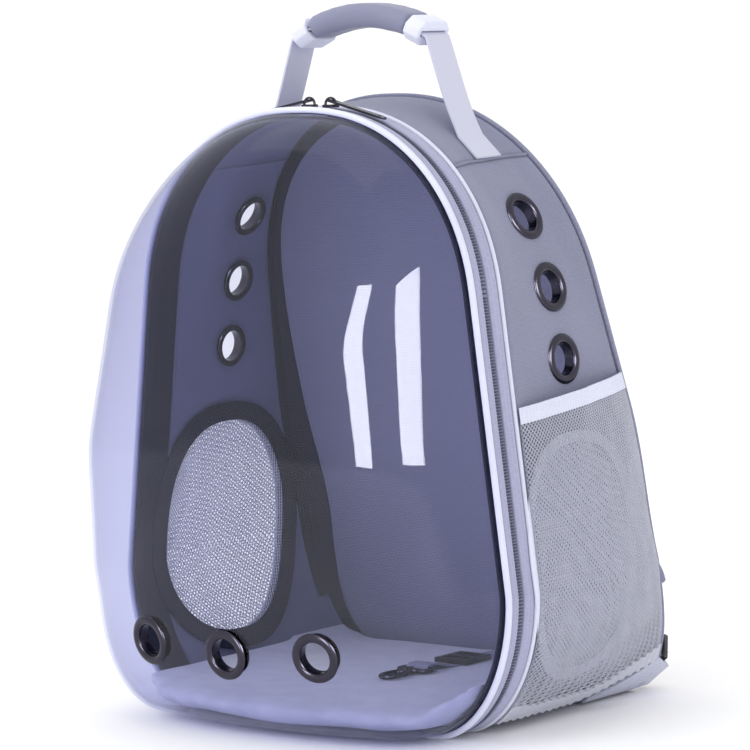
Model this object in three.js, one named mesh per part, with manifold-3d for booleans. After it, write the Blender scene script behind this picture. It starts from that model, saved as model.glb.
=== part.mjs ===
// Bubble pet carrier backpack: a clear domed front zipped to a soft shell, with straps and a handle.
// Millimetres. X runs across, -Y is the side of the bubble, Z is up and zero on the floor.
import * as THREE from 'three';
import { mergeVertices } from 'three/addons/utils/BufferGeometryUtils.js';
import Module from 'manifold-3d';

const wasm = await Module();
wasm.setup();

// Outline of the shell, seen from the front
const SHELL_HEIGHT = 406;
const CROWN_RISE = 5;
const CROWN_POWER = 2.3;
const SHOULDER_Z = 285;
const SHOULDER_HALF = 140;
const WIDEST_Z = 95;
const WIDEST_HALF = 163;
const BASE_HALF = 98;
const CROWN_SEAM_DEG = 40;

// Where the wall is narrower than the front: tucked in low at the back, and slack above the pocket
const BACK_TUCK = 0.07;
const TUCK_Z = 0.217 * SHELL_HEIGHT;
const TUCK_REACH = 0.283 * SHELL_HEIGHT;
const WAIST = 0.07;
const WAIST_FROM = 0.59 * SHELL_HEIGHT;
const WAIST_FULL = 0.862 * SHELL_HEIGHT;
const WAIST_START = 0.34;
const WAIST_END = 0.82;

// Depth of the shell, and the cloth that it is made of
const BASE_DEPTH = 205;
const BACK_LEAN = 0.25;
const BACK_THICK = 6;
const WALL = 3;
const GAP = 0.3;
const SEWN = 0.7;

// Front bands, from the rim of the bubble backwards
const PIPING_WIDE = 4.5;
const PIPING_PROUD = 1.2;
const FRONT_BAND = 7;
const TAPE_WIDE = 2.6;
const TAPE_THICK = 1;
const COIL_WIDE = 2.2;
const BACK_BAND = 10.4;
const SEAM_PIPING = 3;
const INNER_BINDING_WIDE = 10;
const INNER_BINDING_THICK = 1.5;
const BACK_BINDING_WIDE = 9;

// Bubble
const BUBBLE_DEPTH = 94;
const BUBBLE_CENTRE_Z = 185;
const BUBBLE_SHEET = 2;
const BUBBLE_COLLAR = 9;

// Eyelets
const EYELET_OUTER = 16.5;
const EYELET_BORE = 10.5;
const EYELET_BARREL = 1.2;
const EYELET_FLANGE = 1.8;
const WASHER_OUTER = 14.5;
const EYELET_SIDES = 12;

// Side windows and pockets
const WINDOW_HALF_DEEP = 58;
const WINDOW_HALF_TALL = 75;
const WINDOW_Z = 112;
const WINDOW_FROM_RIM = 91;
const WINDOW_POWER = 2.4;
const WINDOW_SIDES = 24;
const WINDOW_BINDING = 13;
const NET_THICK = 1;
const NET_MARGIN = 7;
const POCKET_FRONT_Z = 213;
const POCKET_BACK_Z = 226;
const POCKET_FOOT_Z = 11;
const POCKET_FOOT_RISE = 18;
const POCKET_BULGE = 14;
const POCKET_FULLEST = 0.4;
const POCKET_MOUTH = 9;
const MESH_THICK = 1.2;
const HEM_TALL = 10.5;
const HEM_THICK = 2;

// Floor pad
const PAD_TOP = 22;
const PAD_EDGE = 8;
const PAD_LEFT = 0.81 * WIDEST_HALF;
const PAD_RIGHT = 0.859 * WIDEST_HALF;
const PAD_FRONT = 52;
const PAD_FRONT_POWER = 2.3;

// Carry handle
const WEB_WIDE = 25;
const WEB_THICK = 1.8;
const HANDLE_FROM_RIM = 78;
const HANDLE_TOP = SHELL_HEIGHT + 60;
const HANDLE_ARCH = 14;
const GRIP_HALF = 54;
const GRIP_WIDE = 31;
const GRIP_THICK = 15;
const GRIP_BOUND = 12;
const BOUND_PROUD = 0.8;

// Shoulder straps
const STRAP_WIDE = 62;
const STRAP_THICK = 12;
const STRAP_TURN = 0.25;
const LOCK_WIDE = 34;
const LOCK_BAR = 3;
const LOCK_SLOT = 7;
const LOCK_THICK = 3;
const TAB_THICK = 1.6;
const TAB_FRONT = 143;
const TAB_TALL = 24;
const TAB_FOOT = 4;

// Zip sliders and their pulls
const SLIDER_LONG = 8;
const SLIDER_WIDE = 8;
const SLIDER_TALL = 2;
const BAIL_INNER = 3.8;
const PULL_HINGE = 2.6;
const BAIL_WIRE = 1.3;
const PULL_LONG = 47;
const PULL_WIDE = 6.4;
const PULL_THICK = 1.5;
const PULL_EYE = 6;

// Tether with its snap hook
const TETHER_X = 21;
const TETHER_WIDE = 18;
const TETHER_THICK = 1.2;
const TETHER_WALL_Z = 48;
const SLIDE_LONG = 30;
const SLIDE_WIDE = 27;
const SLIDE_THICK = 3.4;
const SLIDE_BAR = 4;
const HOOK_WIRE = 1.9;
const HOOK_HALF = 6.5;

// Places that follow from the sizes
const RIM_Y = -BASE_DEPTH / 2;
const PIPING_END = RIM_Y + PIPING_WIDE;
const FRONT_BAND_START = PIPING_END + GAP;
const FRONT_BAND_END = FRONT_BAND_START + FRONT_BAND;
const COIL_Y = FRONT_BAND_END + GAP + TAPE_WIDE + GAP / 2;
const BACK_BAND_START = COIL_Y + GAP / 2 + TAPE_WIDE + GAP;
const BACK_BAND_END = BACK_BAND_START + BACK_BAND;
const SEAM_PIPING_Y = BACK_BAND_END + GAP + SEAM_PIPING / 2;
const PANEL_Y = SEAM_PIPING_Y + SEAM_PIPING / 2 + GAP;
const RISE = CROWN_RISE / SHELL_HEIGHT;
const TAPER = (WIDEST_HALF - SHOULDER_HALF) / (SHOULDER_Z - WIDEST_Z);
const BUBBLE_INSET = WALL + GAP;

const root = new THREE.Group();

const COLOURS = {
  cloth: { color: 0x8c8fa6, roughness: 0.9, metalness: 0 },
  band: { color: 0xb9b9d2, roughness: 0.85, metalness: 0 },
  light: { color: 0xdcdcee, roughness: 0.8, metalness: 0 },
  dark: { color: 0x2a2d42, roughness: 0.85, metalness: 0 },
  mesh: { color: 0xa6a7b6, roughness: 0.9, metalness: 0 },
  net: { color: 0xe2e2ea, roughness: 0.9, metalness: 0 },
  pad: { color: 0xd2d3e2, roughness: 1, metalness: 0 },
  clear: { color: 0xd0d2ea, roughness: 0.05, metalness: 0 },
  metal: { color: 0x26262c, roughness: 0.3, metalness: 1 },
  plastic: { color: 0x1c1c20, roughness: 0.5, metalness: 0 },
};

function put(name, geometry, look) {
  const mesh = new THREE.Mesh(geometry, new THREE.MeshStandardMaterial(COLOURS[look]));
  mesh.name = name;
  root.add(mesh);
  return mesh;
}

// Solids from rings and grids of points

function closedSkin(points, faces) {
  let volume = 0;
  for (const [a, b, c] of faces) {
    volume += points[a].dot(points[b].clone().cross(points[c]));
  }
  const ordered = volume > 0 ? faces : faces.map(([a, b, c]) => [a, c, b]);
  const geometry = new THREE.BufferGeometry();
  const position = points.flatMap((point) => [point.x, point.y, point.z]);
  geometry.setAttribute('position', new THREE.Float32BufferAttribute(position, 3));
  geometry.setIndex(ordered.flat());
  geometry.computeVertexNormals();
  return geometry;
}

function loopFaces(loops, joined) {
  const size = loops[0].length;
  const last = joined ? loops.length : loops.length - 1;
  const faces = [];
  for (let row = 0; row < last; row += 1) {
    const here = row * size;
    const next = ((row + 1) % loops.length) * size;
    for (let i = 0; i < size; i += 1) {
      const j = (i + 1) % size;
      faces.push([here + i, here + j, next + j], [here + i, next + j, next + i]);
    }
  }
  return faces;
}

// A ring of closed loops, such as a hollow tube or a band round the shell
function ringSolid(loops) {
  return closedSkin(loops.flat(), loopFaces(loops, true));
}

// Closed loops in a row, with a flat cap on the first and the last
function sweepSolid(loops, section) {
  const faces = loopFaces(loops, false);
  const contour = section.map(([a, b]) => new THREE.Vector2(a, b));
  const end = (loops.length - 1) * section.length;
  for (const corners of THREE.ShapeUtils.triangulateShape(contour, [])) {
    const [a, b, c] = [...corners].sort((one, two) => one - two);
    faces.push([c, b, a], [end + a, end + b, end + c]);
  }
  return closedSkin(loops.flat(), faces);
}

// Two grids of points, one on each face of a sheet, closed along their four edges
function slabSolid(top, bottom) {
  const rows = top.length;
  const cols = top[0].length;
  const at = (row, col, under) => (under ? rows * cols : 0) + row * cols + col;
  const faces = [];
  const quad = (a, b, c, d) => faces.push([a, b, c], [a, c, d]);
  for (let r = 0; r < rows - 1; r += 1) {
    for (let c = 0; c < cols - 1; c += 1) {
      quad(at(r, c), at(r, c + 1), at(r + 1, c + 1), at(r + 1, c));
      quad(at(r, c, true), at(r + 1, c, true), at(r + 1, c + 1, true), at(r, c + 1, true));
    }
    quad(at(r, 0), at(r + 1, 0), at(r + 1, 0, true), at(r, 0, true));
    quad(at(r + 1, cols - 1), at(r, cols - 1), at(r, cols - 1, true), at(r + 1, cols - 1, true));
  }
  for (let c = 0; c < cols - 1; c += 1) {
    quad(at(0, c + 1), at(0, c), at(0, c, true), at(0, c + 1, true));
    quad(at(rows - 1, c), at(rows - 1, c + 1), at(rows - 1, c + 1, true), at(rows - 1, c, true));
  }
  return closedSkin([...top.flat(), ...bottom.flat()], faces);
}

function toManifold(geometry) {
  const bare = geometry.clone();
  bare.deleteAttribute('normal');
  bare.deleteAttribute('uv');
  const merged = mergeVertices(bare);
  const vertProperties = new Float32Array(merged.attributes.position.array);
  const triVerts = new Uint32Array(merged.index.array);
  return new wasm.Manifold(new wasm.Mesh({ numProp: 3, vertProperties, triVerts }));
}

function fromManifold(solid) {
  const mesh = solid.getMesh();
  const geometry = new THREE.BufferGeometry();
  const position = new Float32Array(mesh.vertProperties);
  geometry.setAttribute('position', new THREE.BufferAttribute(position, 3));
  geometry.setIndex(Array.from(mesh.triVerts));
  geometry.computeVertexNormals();
  return geometry;
}

function cut(geometry, tools) {
  return fromManifold(tools.reduce((solid, tool) => solid.subtract(toManifold(tool)), toManifold(geometry)));
}

function keepInside(geometry, tool) {
  return fromManifold(toManifold(geometry).intersect(toManifold(tool)));
}

function fuse(geometries) {
  return fromManifold(geometries.map(toManifold).reduce((solid, more) => solid.add(more)));
}

// Outline of the shell

function halfWidth(z) {
  if (z < WIDEST_Z) {
    const drop = (WIDEST_Z - z) / WIDEST_Z;
    return BASE_HALF + (WIDEST_HALF - BASE_HALF) * Math.sqrt(Math.max(0, 1 - drop * drop));
  }
  const straight = WIDEST_HALF - TAPER * (z - WIDEST_Z);
  if (z <= SHOULDER_Z) return straight;
  const climb = Math.min(1, (z - SHOULDER_Z) / (SHELL_HEIGHT - SHOULDER_Z));
  return straight * (1 - climb ** CROWN_POWER) ** (1 / CROWN_POWER);
}

function cornerPoint(share) {
  const angle = share * Math.PI / 2;
  return [
    BASE_HALF + (WIDEST_HALF - BASE_HALF) * Math.sin(angle),
    WIDEST_Z * (1 - Math.cos(angle)),
  ];
}

function sidePoint(share) {
  const z = WIDEST_Z + (SHOULDER_Z - WIDEST_Z) * share;
  return [halfWidth(z), z];
}

function crownPoint(share) {
  const angle = share * Math.PI / 2;
  const z = SHOULDER_Z + (SHELL_HEIGHT - SHOULDER_Z) * Math.sin(angle) ** (2 / CROWN_POWER);
  const straight = WIDEST_HALF - TAPER * (z - WIDEST_Z);
  return [straight * Math.max(0, Math.cos(angle)) ** (2 / CROWN_POWER), z];
}

const CORNER_STEPS = 6;
const SIDE_STEPS = 2;
const SIDE_BREAK = 0.68;
const CROWN_STEPS = 9;
const SEAM_STEP = Math.round(CROWN_STEPS * CROWN_SEAM_DEG / 90);

// Stops of the outline, from the middle of the base up the right side and down the left one
function outlineStops() {
  const right = [[0, 0], [BASE_HALF, 0]];
  for (let i = 1; i <= CORNER_STEPS; i += 1) right.push(cornerPoint(i / CORNER_STEPS));
  right.push(sidePoint(SIDE_BREAK), sidePoint(1));
  for (let i = 1; i < CROWN_STEPS; i += 1) right.push(crownPoint(i / CROWN_STEPS));
  const left = right.slice(1).reverse().map(([x, z]) => [-x, z]);
  const flat = [...right, [0, SHELL_HEIGHT], ...left];
  return flat.map(([x, z], i) => {
    const before = flat[(i + flat.length - 1) % flat.length];
    const after = flat[(i + 1) % flat.length];
    const along = new THREE.Vector2(after[0] - before[0], after[1] - before[1]).normalize();
    return { x, z, nx: along.y, nz: -along.x };
  });
}

const STOPS = outlineStops();
const BASE_STOP = 1;
const SEAM_STOP = BASE_STOP + CORNER_STEPS + SIDE_STEPS + SEAM_STEP;

// Width of the wall against the front's, at a height of the front's outline and a share of the depth
function narrowing(z, share) {
  const tuck = BACK_TUCK * Math.max(0, 1 - Math.abs(z - TUCK_Z) / TUCK_REACH);
  const waist = WAIST * THREE.MathUtils.smoothstep(z, WAIST_FROM, WAIST_FULL);
  return 1 - tuck * share - waist * Math.min(1, share / WAIST_START, (1 - share) / (1 - WAIST_END));
}

function backY(z) {
  return BASE_DEPTH / 2 - BACK_LEAN * z;
}

// A point on the front bands, a distance outside the outline, never below the floor
function bandPoint(stop, y, grow) {
  return new THREE.Vector3(stop.x + stop.nx * grow, y, Math.max(0, stop.z + stop.nz * grow));
}

// A point on the wall between the front bands, at share 0, and the back panel, at share 1
function wallPoint(stop, share, grow) {
  const z = Math.max(0, stop.z * (1 + RISE * share) + stop.nz * grow);
  const zEnd = Math.max(0, stop.z * (1 + RISE) + stop.nz * grow);
  const y = PANEL_Y + share * (backY(zEnd) - GAP - PANEL_Y);
  const x = stop.x * narrowing(stop.z, share) + stop.nx * grow;
  return new THREE.Vector3(x, y, z);
}

// A point beside the wall at a given depth and height, on the right (side 1) or the left (-1)
function besideWall(side, y, z, grow) {
  const share = (y - PANEL_Y) / (backY(z) - PANEL_Y);
  const outline = (height) => {
    const level = height / (1 + RISE * share);
    return halfWidth(level) * narrowing(level, share);
  };
  const slope = (outline(z + 0.5) - outline(Math.max(0, z - 0.5))) / (z < 0.5 ? 0.5 + z : 1);
  const length = Math.hypot(1, slope);
  const x = outline(z) + grow / length;
  return new THREE.Vector3(side * x, y, Math.max(0, z - grow * slope / length));
}

function wallNormal(side, y, z) {
  const deep = besideWall(1, y + 1, z, 0).sub(besideWall(1, y - 1, z, 0));
  const tall = besideWall(1, y, z + 1, 0).sub(besideWall(1, y, z - 1, 0));
  return deep.cross(tall).normalize().multiply(new THREE.Vector3(side, 1, 1));
}

// Front bands

function bandSolid(section) {
  const loops = STOPS.map((stop) => section.map(([y, grow]) => bandPoint(stop, y, grow)));
  return ringSolid(loops);
}

function flatBand(start, end, inner, outer) {
  return [[start, inner], [start, outer], [end, outer], [end, inner]];
}

function roundBand(centre, grow, halfWide, halfThick, sides) {
  return Array.from({ length: sides }, (_, i) => {
    const angle = (i + 0.5) * 2 * Math.PI / sides;
    return [centre + halfWide * Math.cos(angle), grow + halfThick * Math.sin(angle)];
  });
}

function addFrontBands() {
  const pipingGrow = (PIPING_PROUD - WALL) / 2;
  const piping = roundBand((RIM_Y + PIPING_END) / 2, pipingGrow, PIPING_WIDE / 2, pipingGrow + WALL, 6);
  put('rim_piping', bandSolid(piping), 'light');
  put('front_gusset', bandSolid(flatBand(FRONT_BAND_START, FRONT_BAND_END, -WALL, 0)), 'band');
  const tapeTop = -WALL / 2;
  const coilLow = tapeTop + GAP;
  const frontTape = flatBand(FRONT_BAND_END + GAP, COIL_Y - GAP / 2, tapeTop - TAPE_THICK, tapeTop);
  const backTape = flatBand(COIL_Y + GAP / 2, BACK_BAND_START - GAP, tapeTop - TAPE_THICK, tapeTop);
  put('zip_tape_front', bandSolid(frontTape), 'band');
  put('zip_tape_back', bandSolid(backTape), 'band');
  const coil = roundBand(COIL_Y, (coilLow - GAP / 2) / 2, COIL_WIDE / 2, -coilLow / 2, 4);
  put('zip_coil', bandSolid(coil), 'dark');
  put('back_gusset', bandSolid(flatBand(BACK_BAND_START, BACK_BAND_END, -WALL, 0)), 'band');
  const seam = roundBand(SEAM_PIPING_Y, 0, SEAM_PIPING / 2, SEAM_PIPING / 2, 5);
  put('seam_piping', bandSolid(seam), 'light');
  const bindTop = -BUBBLE_INSET - BUBBLE_SHEET - GAP;
  const bindEnd = RIM_Y + GAP + INNER_BINDING_WIDE;
  const binding = flatBand(RIM_Y + GAP, bindEnd, bindTop - INNER_BINDING_THICK, bindTop);
  put('rim_binding_inside', bandSolid(binding), 'dark');
}

// Bubble

// Fullness of the bubble by the direction out of its centre, from straight down (-1) to straight up (1)
const BUBBLE_FULLNESS = [
  { climb: -1, power: 5 },
  { climb: -0.88, power: 3.3 },
  { climb: -0.6, power: 2.4 },
  { climb: 0, power: 3.4 },
  { climb: 0.7, power: 2.4 },
  { climb: 1, power: 1.6 },
];

function bubblePower(x, z) {
  const climb = Math.min(1, (z - BUBBLE_CENTRE_Z) / Math.hypot(x, z - BUBBLE_CENTRE_Z));
  const next = Math.max(1, BUBBLE_FULLNESS.findIndex((row) => row.climb >= climb));
  const [low, high] = BUBBLE_FULLNESS.slice(next - 1, next + 1);
  return THREE.MathUtils.mapLinear(climb, low.climb, high.climb, low.power, high.power);
}

function bubbleLoop(angle, inset) {
  return STOPS.map((stop) => {
    const rim = bandPoint(stop, RIM_Y, -BUBBLE_INSET - inset);
    const power = bubblePower(rim.x, rim.z);
    const share = Math.cos(angle) ** (2 / power);
    const deep = (BUBBLE_DEPTH - inset) * Math.sin(angle) ** (2 / power);
    const z = BUBBLE_CENTRE_Z + (rim.z - BUBBLE_CENTRE_Z) * share;
    return new THREE.Vector3(rim.x * share, RIM_Y - deep, z);
  });
}

// How far the bubble stands before the rim at a place, from the ray out of its centre to the rim
function bubbleY(x, z) {
  const away = new THREE.Vector2(x, z - BUBBLE_CENTRE_Z);
  let share = 0;
  STOPS.forEach((stop, i) => {
    const after = STOPS[(i + 1) % STOPS.length];
    const a = bandPoint(stop, 0, -BUBBLE_INSET);
    const b = bandPoint(after, 0, -BUBBLE_INSET);
    const edge = new THREE.Vector2(b.x - a.x, b.z - a.z);
    const start = new THREE.Vector2(a.x, a.z - BUBBLE_CENTRE_Z);
    share = Math.max(share, away.cross(edge) / start.cross(edge));
  });
  const power = bubblePower(x, z);
  return RIM_Y - BUBBLE_DEPTH * (1 - Math.min(1, share) ** power) ** (1 / power);
}

function bubbleNormal(x, z) {
  const step = EYELET_OUTER;
  const slopeX = (bubbleY(x + step, z) - bubbleY(x - step, z)) / (2 * step);
  const slopeZ = (bubbleY(x, z + step) - bubbleY(x, z - step)) / (2 * step);
  return new THREE.Vector3(slopeX, -1, slopeZ).normalize();
}

function bubbleBody() {
  const steps = 7;
  const angles = Array.from({ length: steps }, (_, i) => i * Math.PI / 2 / steps);
  const collar = (inset) => STOPS.map((stop) => bandPoint(stop, RIM_Y + BUBBLE_COLLAR, -BUBBLE_INSET - inset));
  const outer = [collar(0), ...angles.map((angle) => bubbleLoop(angle, 0))];
  const inner = [collar(BUBBLE_SHEET), ...angles.map((angle) => bubbleLoop(angle, BUBBLE_SHEET))];
  const loops = [...inner.reverse(), ...outer];
  const faces = loopFaces(loops, false);
  const points = loops.flat();
  const size = STOPS.length;
  const tips = [RIM_Y - BUBBLE_DEPTH + BUBBLE_SHEET, RIM_Y - BUBBLE_DEPTH];
  tips.forEach((y) => points.push(new THREE.Vector3(0, y, BUBBLE_CENTRE_Z)));
  for (let i = 0; i < size; i += 1) {
    const j = (i + 1) % size;
    const last = (loops.length - 1) * size;
    faces.push([points.length - 2, j, i], [points.length - 1, last + i, last + j]);
  }
  return closedSkin(points, faces);
}

// Eyelets

// Flange outside, barrel through the wall and a washer inside, turned round the Y axis
function eyeletSolid(wallThick, sag) {
  const under = GAP;
  const top = under + EYELET_FLANGE;
  const washerTop = -wallThick - sag - GAP;
  const barrel = EYELET_BORE + EYELET_BARREL;
  const section = [
    [EYELET_BORE, top - 0.5], [EYELET_BORE + 1.5, top], [EYELET_OUTER - 2, top - 0.3],
    [EYELET_OUTER, under], [barrel, under],
    [barrel, washerTop], [WASHER_OUTER, washerTop], [WASHER_OUTER, washerTop - EYELET_BARREL],
    [EYELET_BORE, washerTop - EYELET_BARREL],
  ];
  const loop = [...section, section[0]].map(([r, h]) => new THREE.Vector2(r, h));
  const lathe = new THREE.LatheGeometry(loop, EYELET_SIDES);
  lathe.deleteAttribute('normal');
  lathe.deleteAttribute('uv');
  const merged = mergeVertices(lathe, 0.001);
  return closedSkin(pointsOf(merged), facesOf(merged));
}

function pointsOf(geometry) {
  const position = geometry.attributes.position;
  return Array.from({ length: position.count }, (_, i) => new THREE.Vector3().fromBufferAttribute(position, i));
}

function facesOf(geometry) {
  const index = geometry.index.array;
  const faces = [];
  for (let i = 0; i < index.length; i += 3) {
    const face = [index[i], index[i + 1], index[i + 2]];
    if (new Set(face).size === 3) faces.push(face);
  }
  return faces;
}

function holeTool(place, normal) {
  const radius = EYELET_BORE + EYELET_BARREL + GAP;
  const tool = new THREE.CylinderGeometry(radius, radius, 8 * WALL, EYELET_SIDES);
  tool.applyQuaternion(new THREE.Quaternion().setFromUnitVectors(new THREE.Vector3(0, 1, 0), normal));
  return tool.translate(place.x, place.y, place.z);
}

function addEyelet(name, place, normal, wallThick, sag) {
  const mesh = put(name, eyeletSolid(wallThick, sag), 'metal');
  mesh.quaternion.setFromUnitVectors(new THREE.Vector3(0, 1, 0), normal);
  mesh.position.copy(place);
}

// Side eyelets: share of the wall's depth there, and of the height above the floor
const SIDE_EYELETS = [
  { name: 'top', deep: 0.583, high: 0.818 },
  { name: 'middle', deep: 0.555, high: 0.704 },
  { name: 'low', deep: 0.504, high: 0.59 },
];
const BUBBLE_EYELETS = [
  { name: 'left', x: -64.5, z: 63.5 },
  { name: 'middle', x: 4.5, z: 60.5 },
  { name: 'right', x: 73.5, z: 63.5 },
];
const SIDE_SAG = 2.4;
const BUBBLE_SAG = 3.4;

function addBubble() {
  const places = BUBBLE_EYELETS.map(({ name, x, z }) => ({
    name,
    place: new THREE.Vector3(x, bubbleY(x, z), z),
    normal: bubbleNormal(x, z),
  }));
  const holes = places.map(({ place, normal }) => holeTool(place, normal));
  put('bubble', cut(bubbleBody(), holes), 'clear');
  for (const { name, place, normal } of places) {
    addEyelet(`bubble_eyelet_${name}`, place, normal, BUBBLE_SHEET, BUBBLE_SAG);
  }
}

// Wall panels

// A panel between two stops of the outline, short of each seam by half the gap
function panelSolid(stops, outer, inner, shares) {
  const face = (grow) => stops.map((stop, i) => {
    const shift = i === 0 ? GAP / 2 : i === stops.length - 1 ? -GAP / 2 : 0;
    const moved = { ...stop, x: stop.x - stop.nz * shift, z: stop.z + stop.nx * shift };
    return shares.map((share) => wallPoint(moved, share, grow));
  });
  return slabSolid(face(outer), face(inner));
}

function stopsBetween(first, last) {
  return Array.from({ length: last - first + 1 }, (_, i) => STOPS[(first + i + STOPS.length) % STOPS.length]);
}

function mirrorX(geometry) {
  const points = pointsOf(geometry).map((point) => new THREE.Vector3(-point.x, point.y, point.z));
  return closedSkin(points, facesOf(geometry));
}

function windowTool(margin) {
  const shape = new THREE.Shape(Array.from({ length: WINDOW_SIDES }, (_, i) => {
    const angle = i * 2 * Math.PI / WINDOW_SIDES;
    const round = (value) => Math.sign(value) * Math.abs(value) ** (2 / WINDOW_POWER);
    const y = RIM_Y + WINDOW_FROM_RIM + (WINDOW_HALF_DEEP + margin) * round(Math.cos(angle));
    return new THREE.Vector2(y, WINDOW_Z + (WINDOW_HALF_TALL + margin) * round(Math.sin(angle)));
  }));
  const tool = new THREE.ExtrudeGeometry(shape, { depth: WIDEST_HALF, bevelEnabled: false });
  tool.applyMatrix4(new THREE.Matrix4().makeBasis(
    new THREE.Vector3(0, 1, 0),
    new THREE.Vector3(0, 0, 1),
    new THREE.Vector3(1, 0, 0),
  ));
  return tool.translate(BASE_HALF / 2, 0, 0);
}

const PANEL_SHARES = [0, WAIST_START, WAIST_END, 0.9, 1];

function addPanels() {
  const sideStops = stopsBetween(BASE_STOP, SEAM_STOP);
  const places = SIDE_EYELETS.map(({ name, deep, high }) => {
    const z = high * SHELL_HEIGHT;
    const y = PANEL_Y + deep * (backY(z) - PANEL_Y);
    return { name, place: besideWall(1, y, z, 0), normal: wallNormal(1, y, z) };
  });
  const holes = places.map(({ place, normal }) => holeTool(place, normal));
  const wall = cut(panelSolid(sideStops, 0, -WALL, PANEL_SHARES), [windowTool(0), ...holes]);
  const netTop = -WALL - GAP;
  const netStops = stopsBetween(BASE_STOP + 2, BASE_STOP + CORNER_STEPS + SIDE_STEPS);
  const netSheet = panelSolid(netStops, netTop, netTop - NET_THICK, PANEL_SHARES);
  const net = keepInside(netSheet, windowTool(NET_MARGIN));
  const bindTop = netTop - NET_THICK - GAP;
  const bindSheet = panelSolid(netStops, bindTop, bindTop - INNER_BINDING_THICK, PANEL_SHARES);
  const bind = cut(keepInside(bindSheet, windowTool(WINDOW_BINDING)), [windowTool(0)]);
  for (const [side, word] of [[1, 'right'], [-1, 'left']]) {
    const turn = side === 1 ? (geometry) => geometry : mirrorX;
    put(`side_panel_${word}`, turn(wall), 'cloth');
    put(`window_net_${word}`, turn(net), 'net');
    put(`window_binding_${word}`, turn(bind), 'dark');
    for (const { name, place, normal } of places) {
      const spot = place.clone().multiply(new THREE.Vector3(side, 1, 1));
      const facing = normal.clone().multiply(new THREE.Vector3(side, 1, 1));
      addEyelet(`side_eyelet_${name}_${word}`, spot, facing, WALL, SIDE_SAG);
    }
  }
  const topStops = stopsBetween(SEAM_STOP, STOPS.length - SEAM_STOP);
  put('top_panel', panelSolid(topStops, 0, -WALL, PANEL_SHARES), 'cloth');
  const baseStops = stopsBetween(-BASE_STOP, BASE_STOP);
  put('bottom_panel', panelSolid(baseStops, 0, -WALL, PANEL_SHARES), 'cloth');
}

function addBackPanel() {
  const length = Math.hypot(1, BACK_LEAN);
  const normal = new THREE.Vector3(0, 1, BACK_LEAN).divideScalar(length);
  const face = (thick) => STOPS.map((stop) => {
    const z = stop.z * (1 + RISE);
    return new THREE.Vector3(stop.x * narrowing(stop.z, 1), backY(z), z).addScaledVector(normal, thick);
  });
  const contour = face(0).map((point) => [point.x, point.z]);
  put('back_panel', sweepSolid([face(0), face(BACK_THICK)], contour), 'cloth');
  const seamStops = stopsBetween(BASE_STOP + 4, STOPS.length - BASE_STOP - 4);
  const bindTop = -WALL - 2 * GAP;
  const section = flatBand(BACK_BINDING_WIDE, 0, bindTop - INNER_BINDING_THICK, bindTop);
  const loops = seamStops.map((stop) => section.map(([before, grow]) => {
    const share = 1 - before / (backY(stop.z) - PANEL_Y);
    return wallPoint(stop, share, grow);
  }));
  put('back_binding_inside', sweepSolid(loops, section), 'dark');
}

// Pockets

function pocketTop(share) {
  return POCKET_FRONT_Z + (POCKET_BACK_Z - POCKET_FRONT_Z) * share;
}

// The pocket's lower edge climbs towards the back, over the strap tab
function pocketFoot(share) {
  return POCKET_FOOT_Z + POCKET_FOOT_RISE * Math.max(0, share - 0.5) / 0.5;
}

// Distance of the pocket's inner face from the wall: sewn at the foot and both ends, open at the mouth
function pocketStand(share, climb) {
  const across = Math.sin(Math.PI * share) ** 0.7;
  const down = Math.sin(Math.min(1, climb / POCKET_FULLEST) * Math.PI / 2);
  const up = Math.cos(Math.max(0, climb - POCKET_FULLEST) / (1 - POCKET_FULLEST) * Math.PI / 2) ** 2;
  const full = climb < POCKET_FULLEST ? POCKET_BULGE * down : POCKET_MOUTH + (POCKET_BULGE - POCKET_MOUTH) * up;
  return SEWN + across * full;
}

function pocketPoint(side, share, z, extra) {
  const foot = pocketFoot(share);
  const front = PANEL_Y + 1;
  const y = front + (backY(z) - 1 - front) * share;
  const climb = (z - foot) / (pocketTop(share) - foot);
  return besideWall(side, y, z, pocketStand(share, climb) + extra);
}

const POCKET_SHARES = Array.from({ length: 9 }, (_, c) => c / 8);

function pocketFace(side, extra) {
  const low = [0, 0.08, 0.2, 0.36, 0.56, 0.78, 1].map((step) => POCKET_SHARES.map((share) => {
    const z = pocketFoot(share) + (WIDEST_Z - pocketFoot(share)) * step;
    return pocketPoint(side, share, z, extra);
  }));
  const high = [0.33, 0.67, 1].map((step) => POCKET_SHARES.map((share) => {
    const z = WIDEST_Z + (pocketTop(share) - HEM_TALL - GAP - WIDEST_Z) * step;
    return pocketPoint(side, share, z, extra);
  }));
  return [...low, ...high];
}

function hemFace(side, extra) {
  return [HEM_TALL, 0].map((drop) => (
    POCKET_SHARES.map((share) => pocketPoint(side, share, pocketTop(share) - drop, extra))
  ));
}

function addPockets() {
  for (const [side, word] of [[1, 'right'], [-1, 'left']]) {
    put(`pocket_mesh_${word}`, slabSolid(pocketFace(side, MESH_THICK), pocketFace(side, 0)), 'mesh');
    put(`pocket_hem_${word}`, slabSolid(hemFace(side, HEM_THICK), hemFace(side, 0)), 'light');
  }
}

// Floor pad

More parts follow.
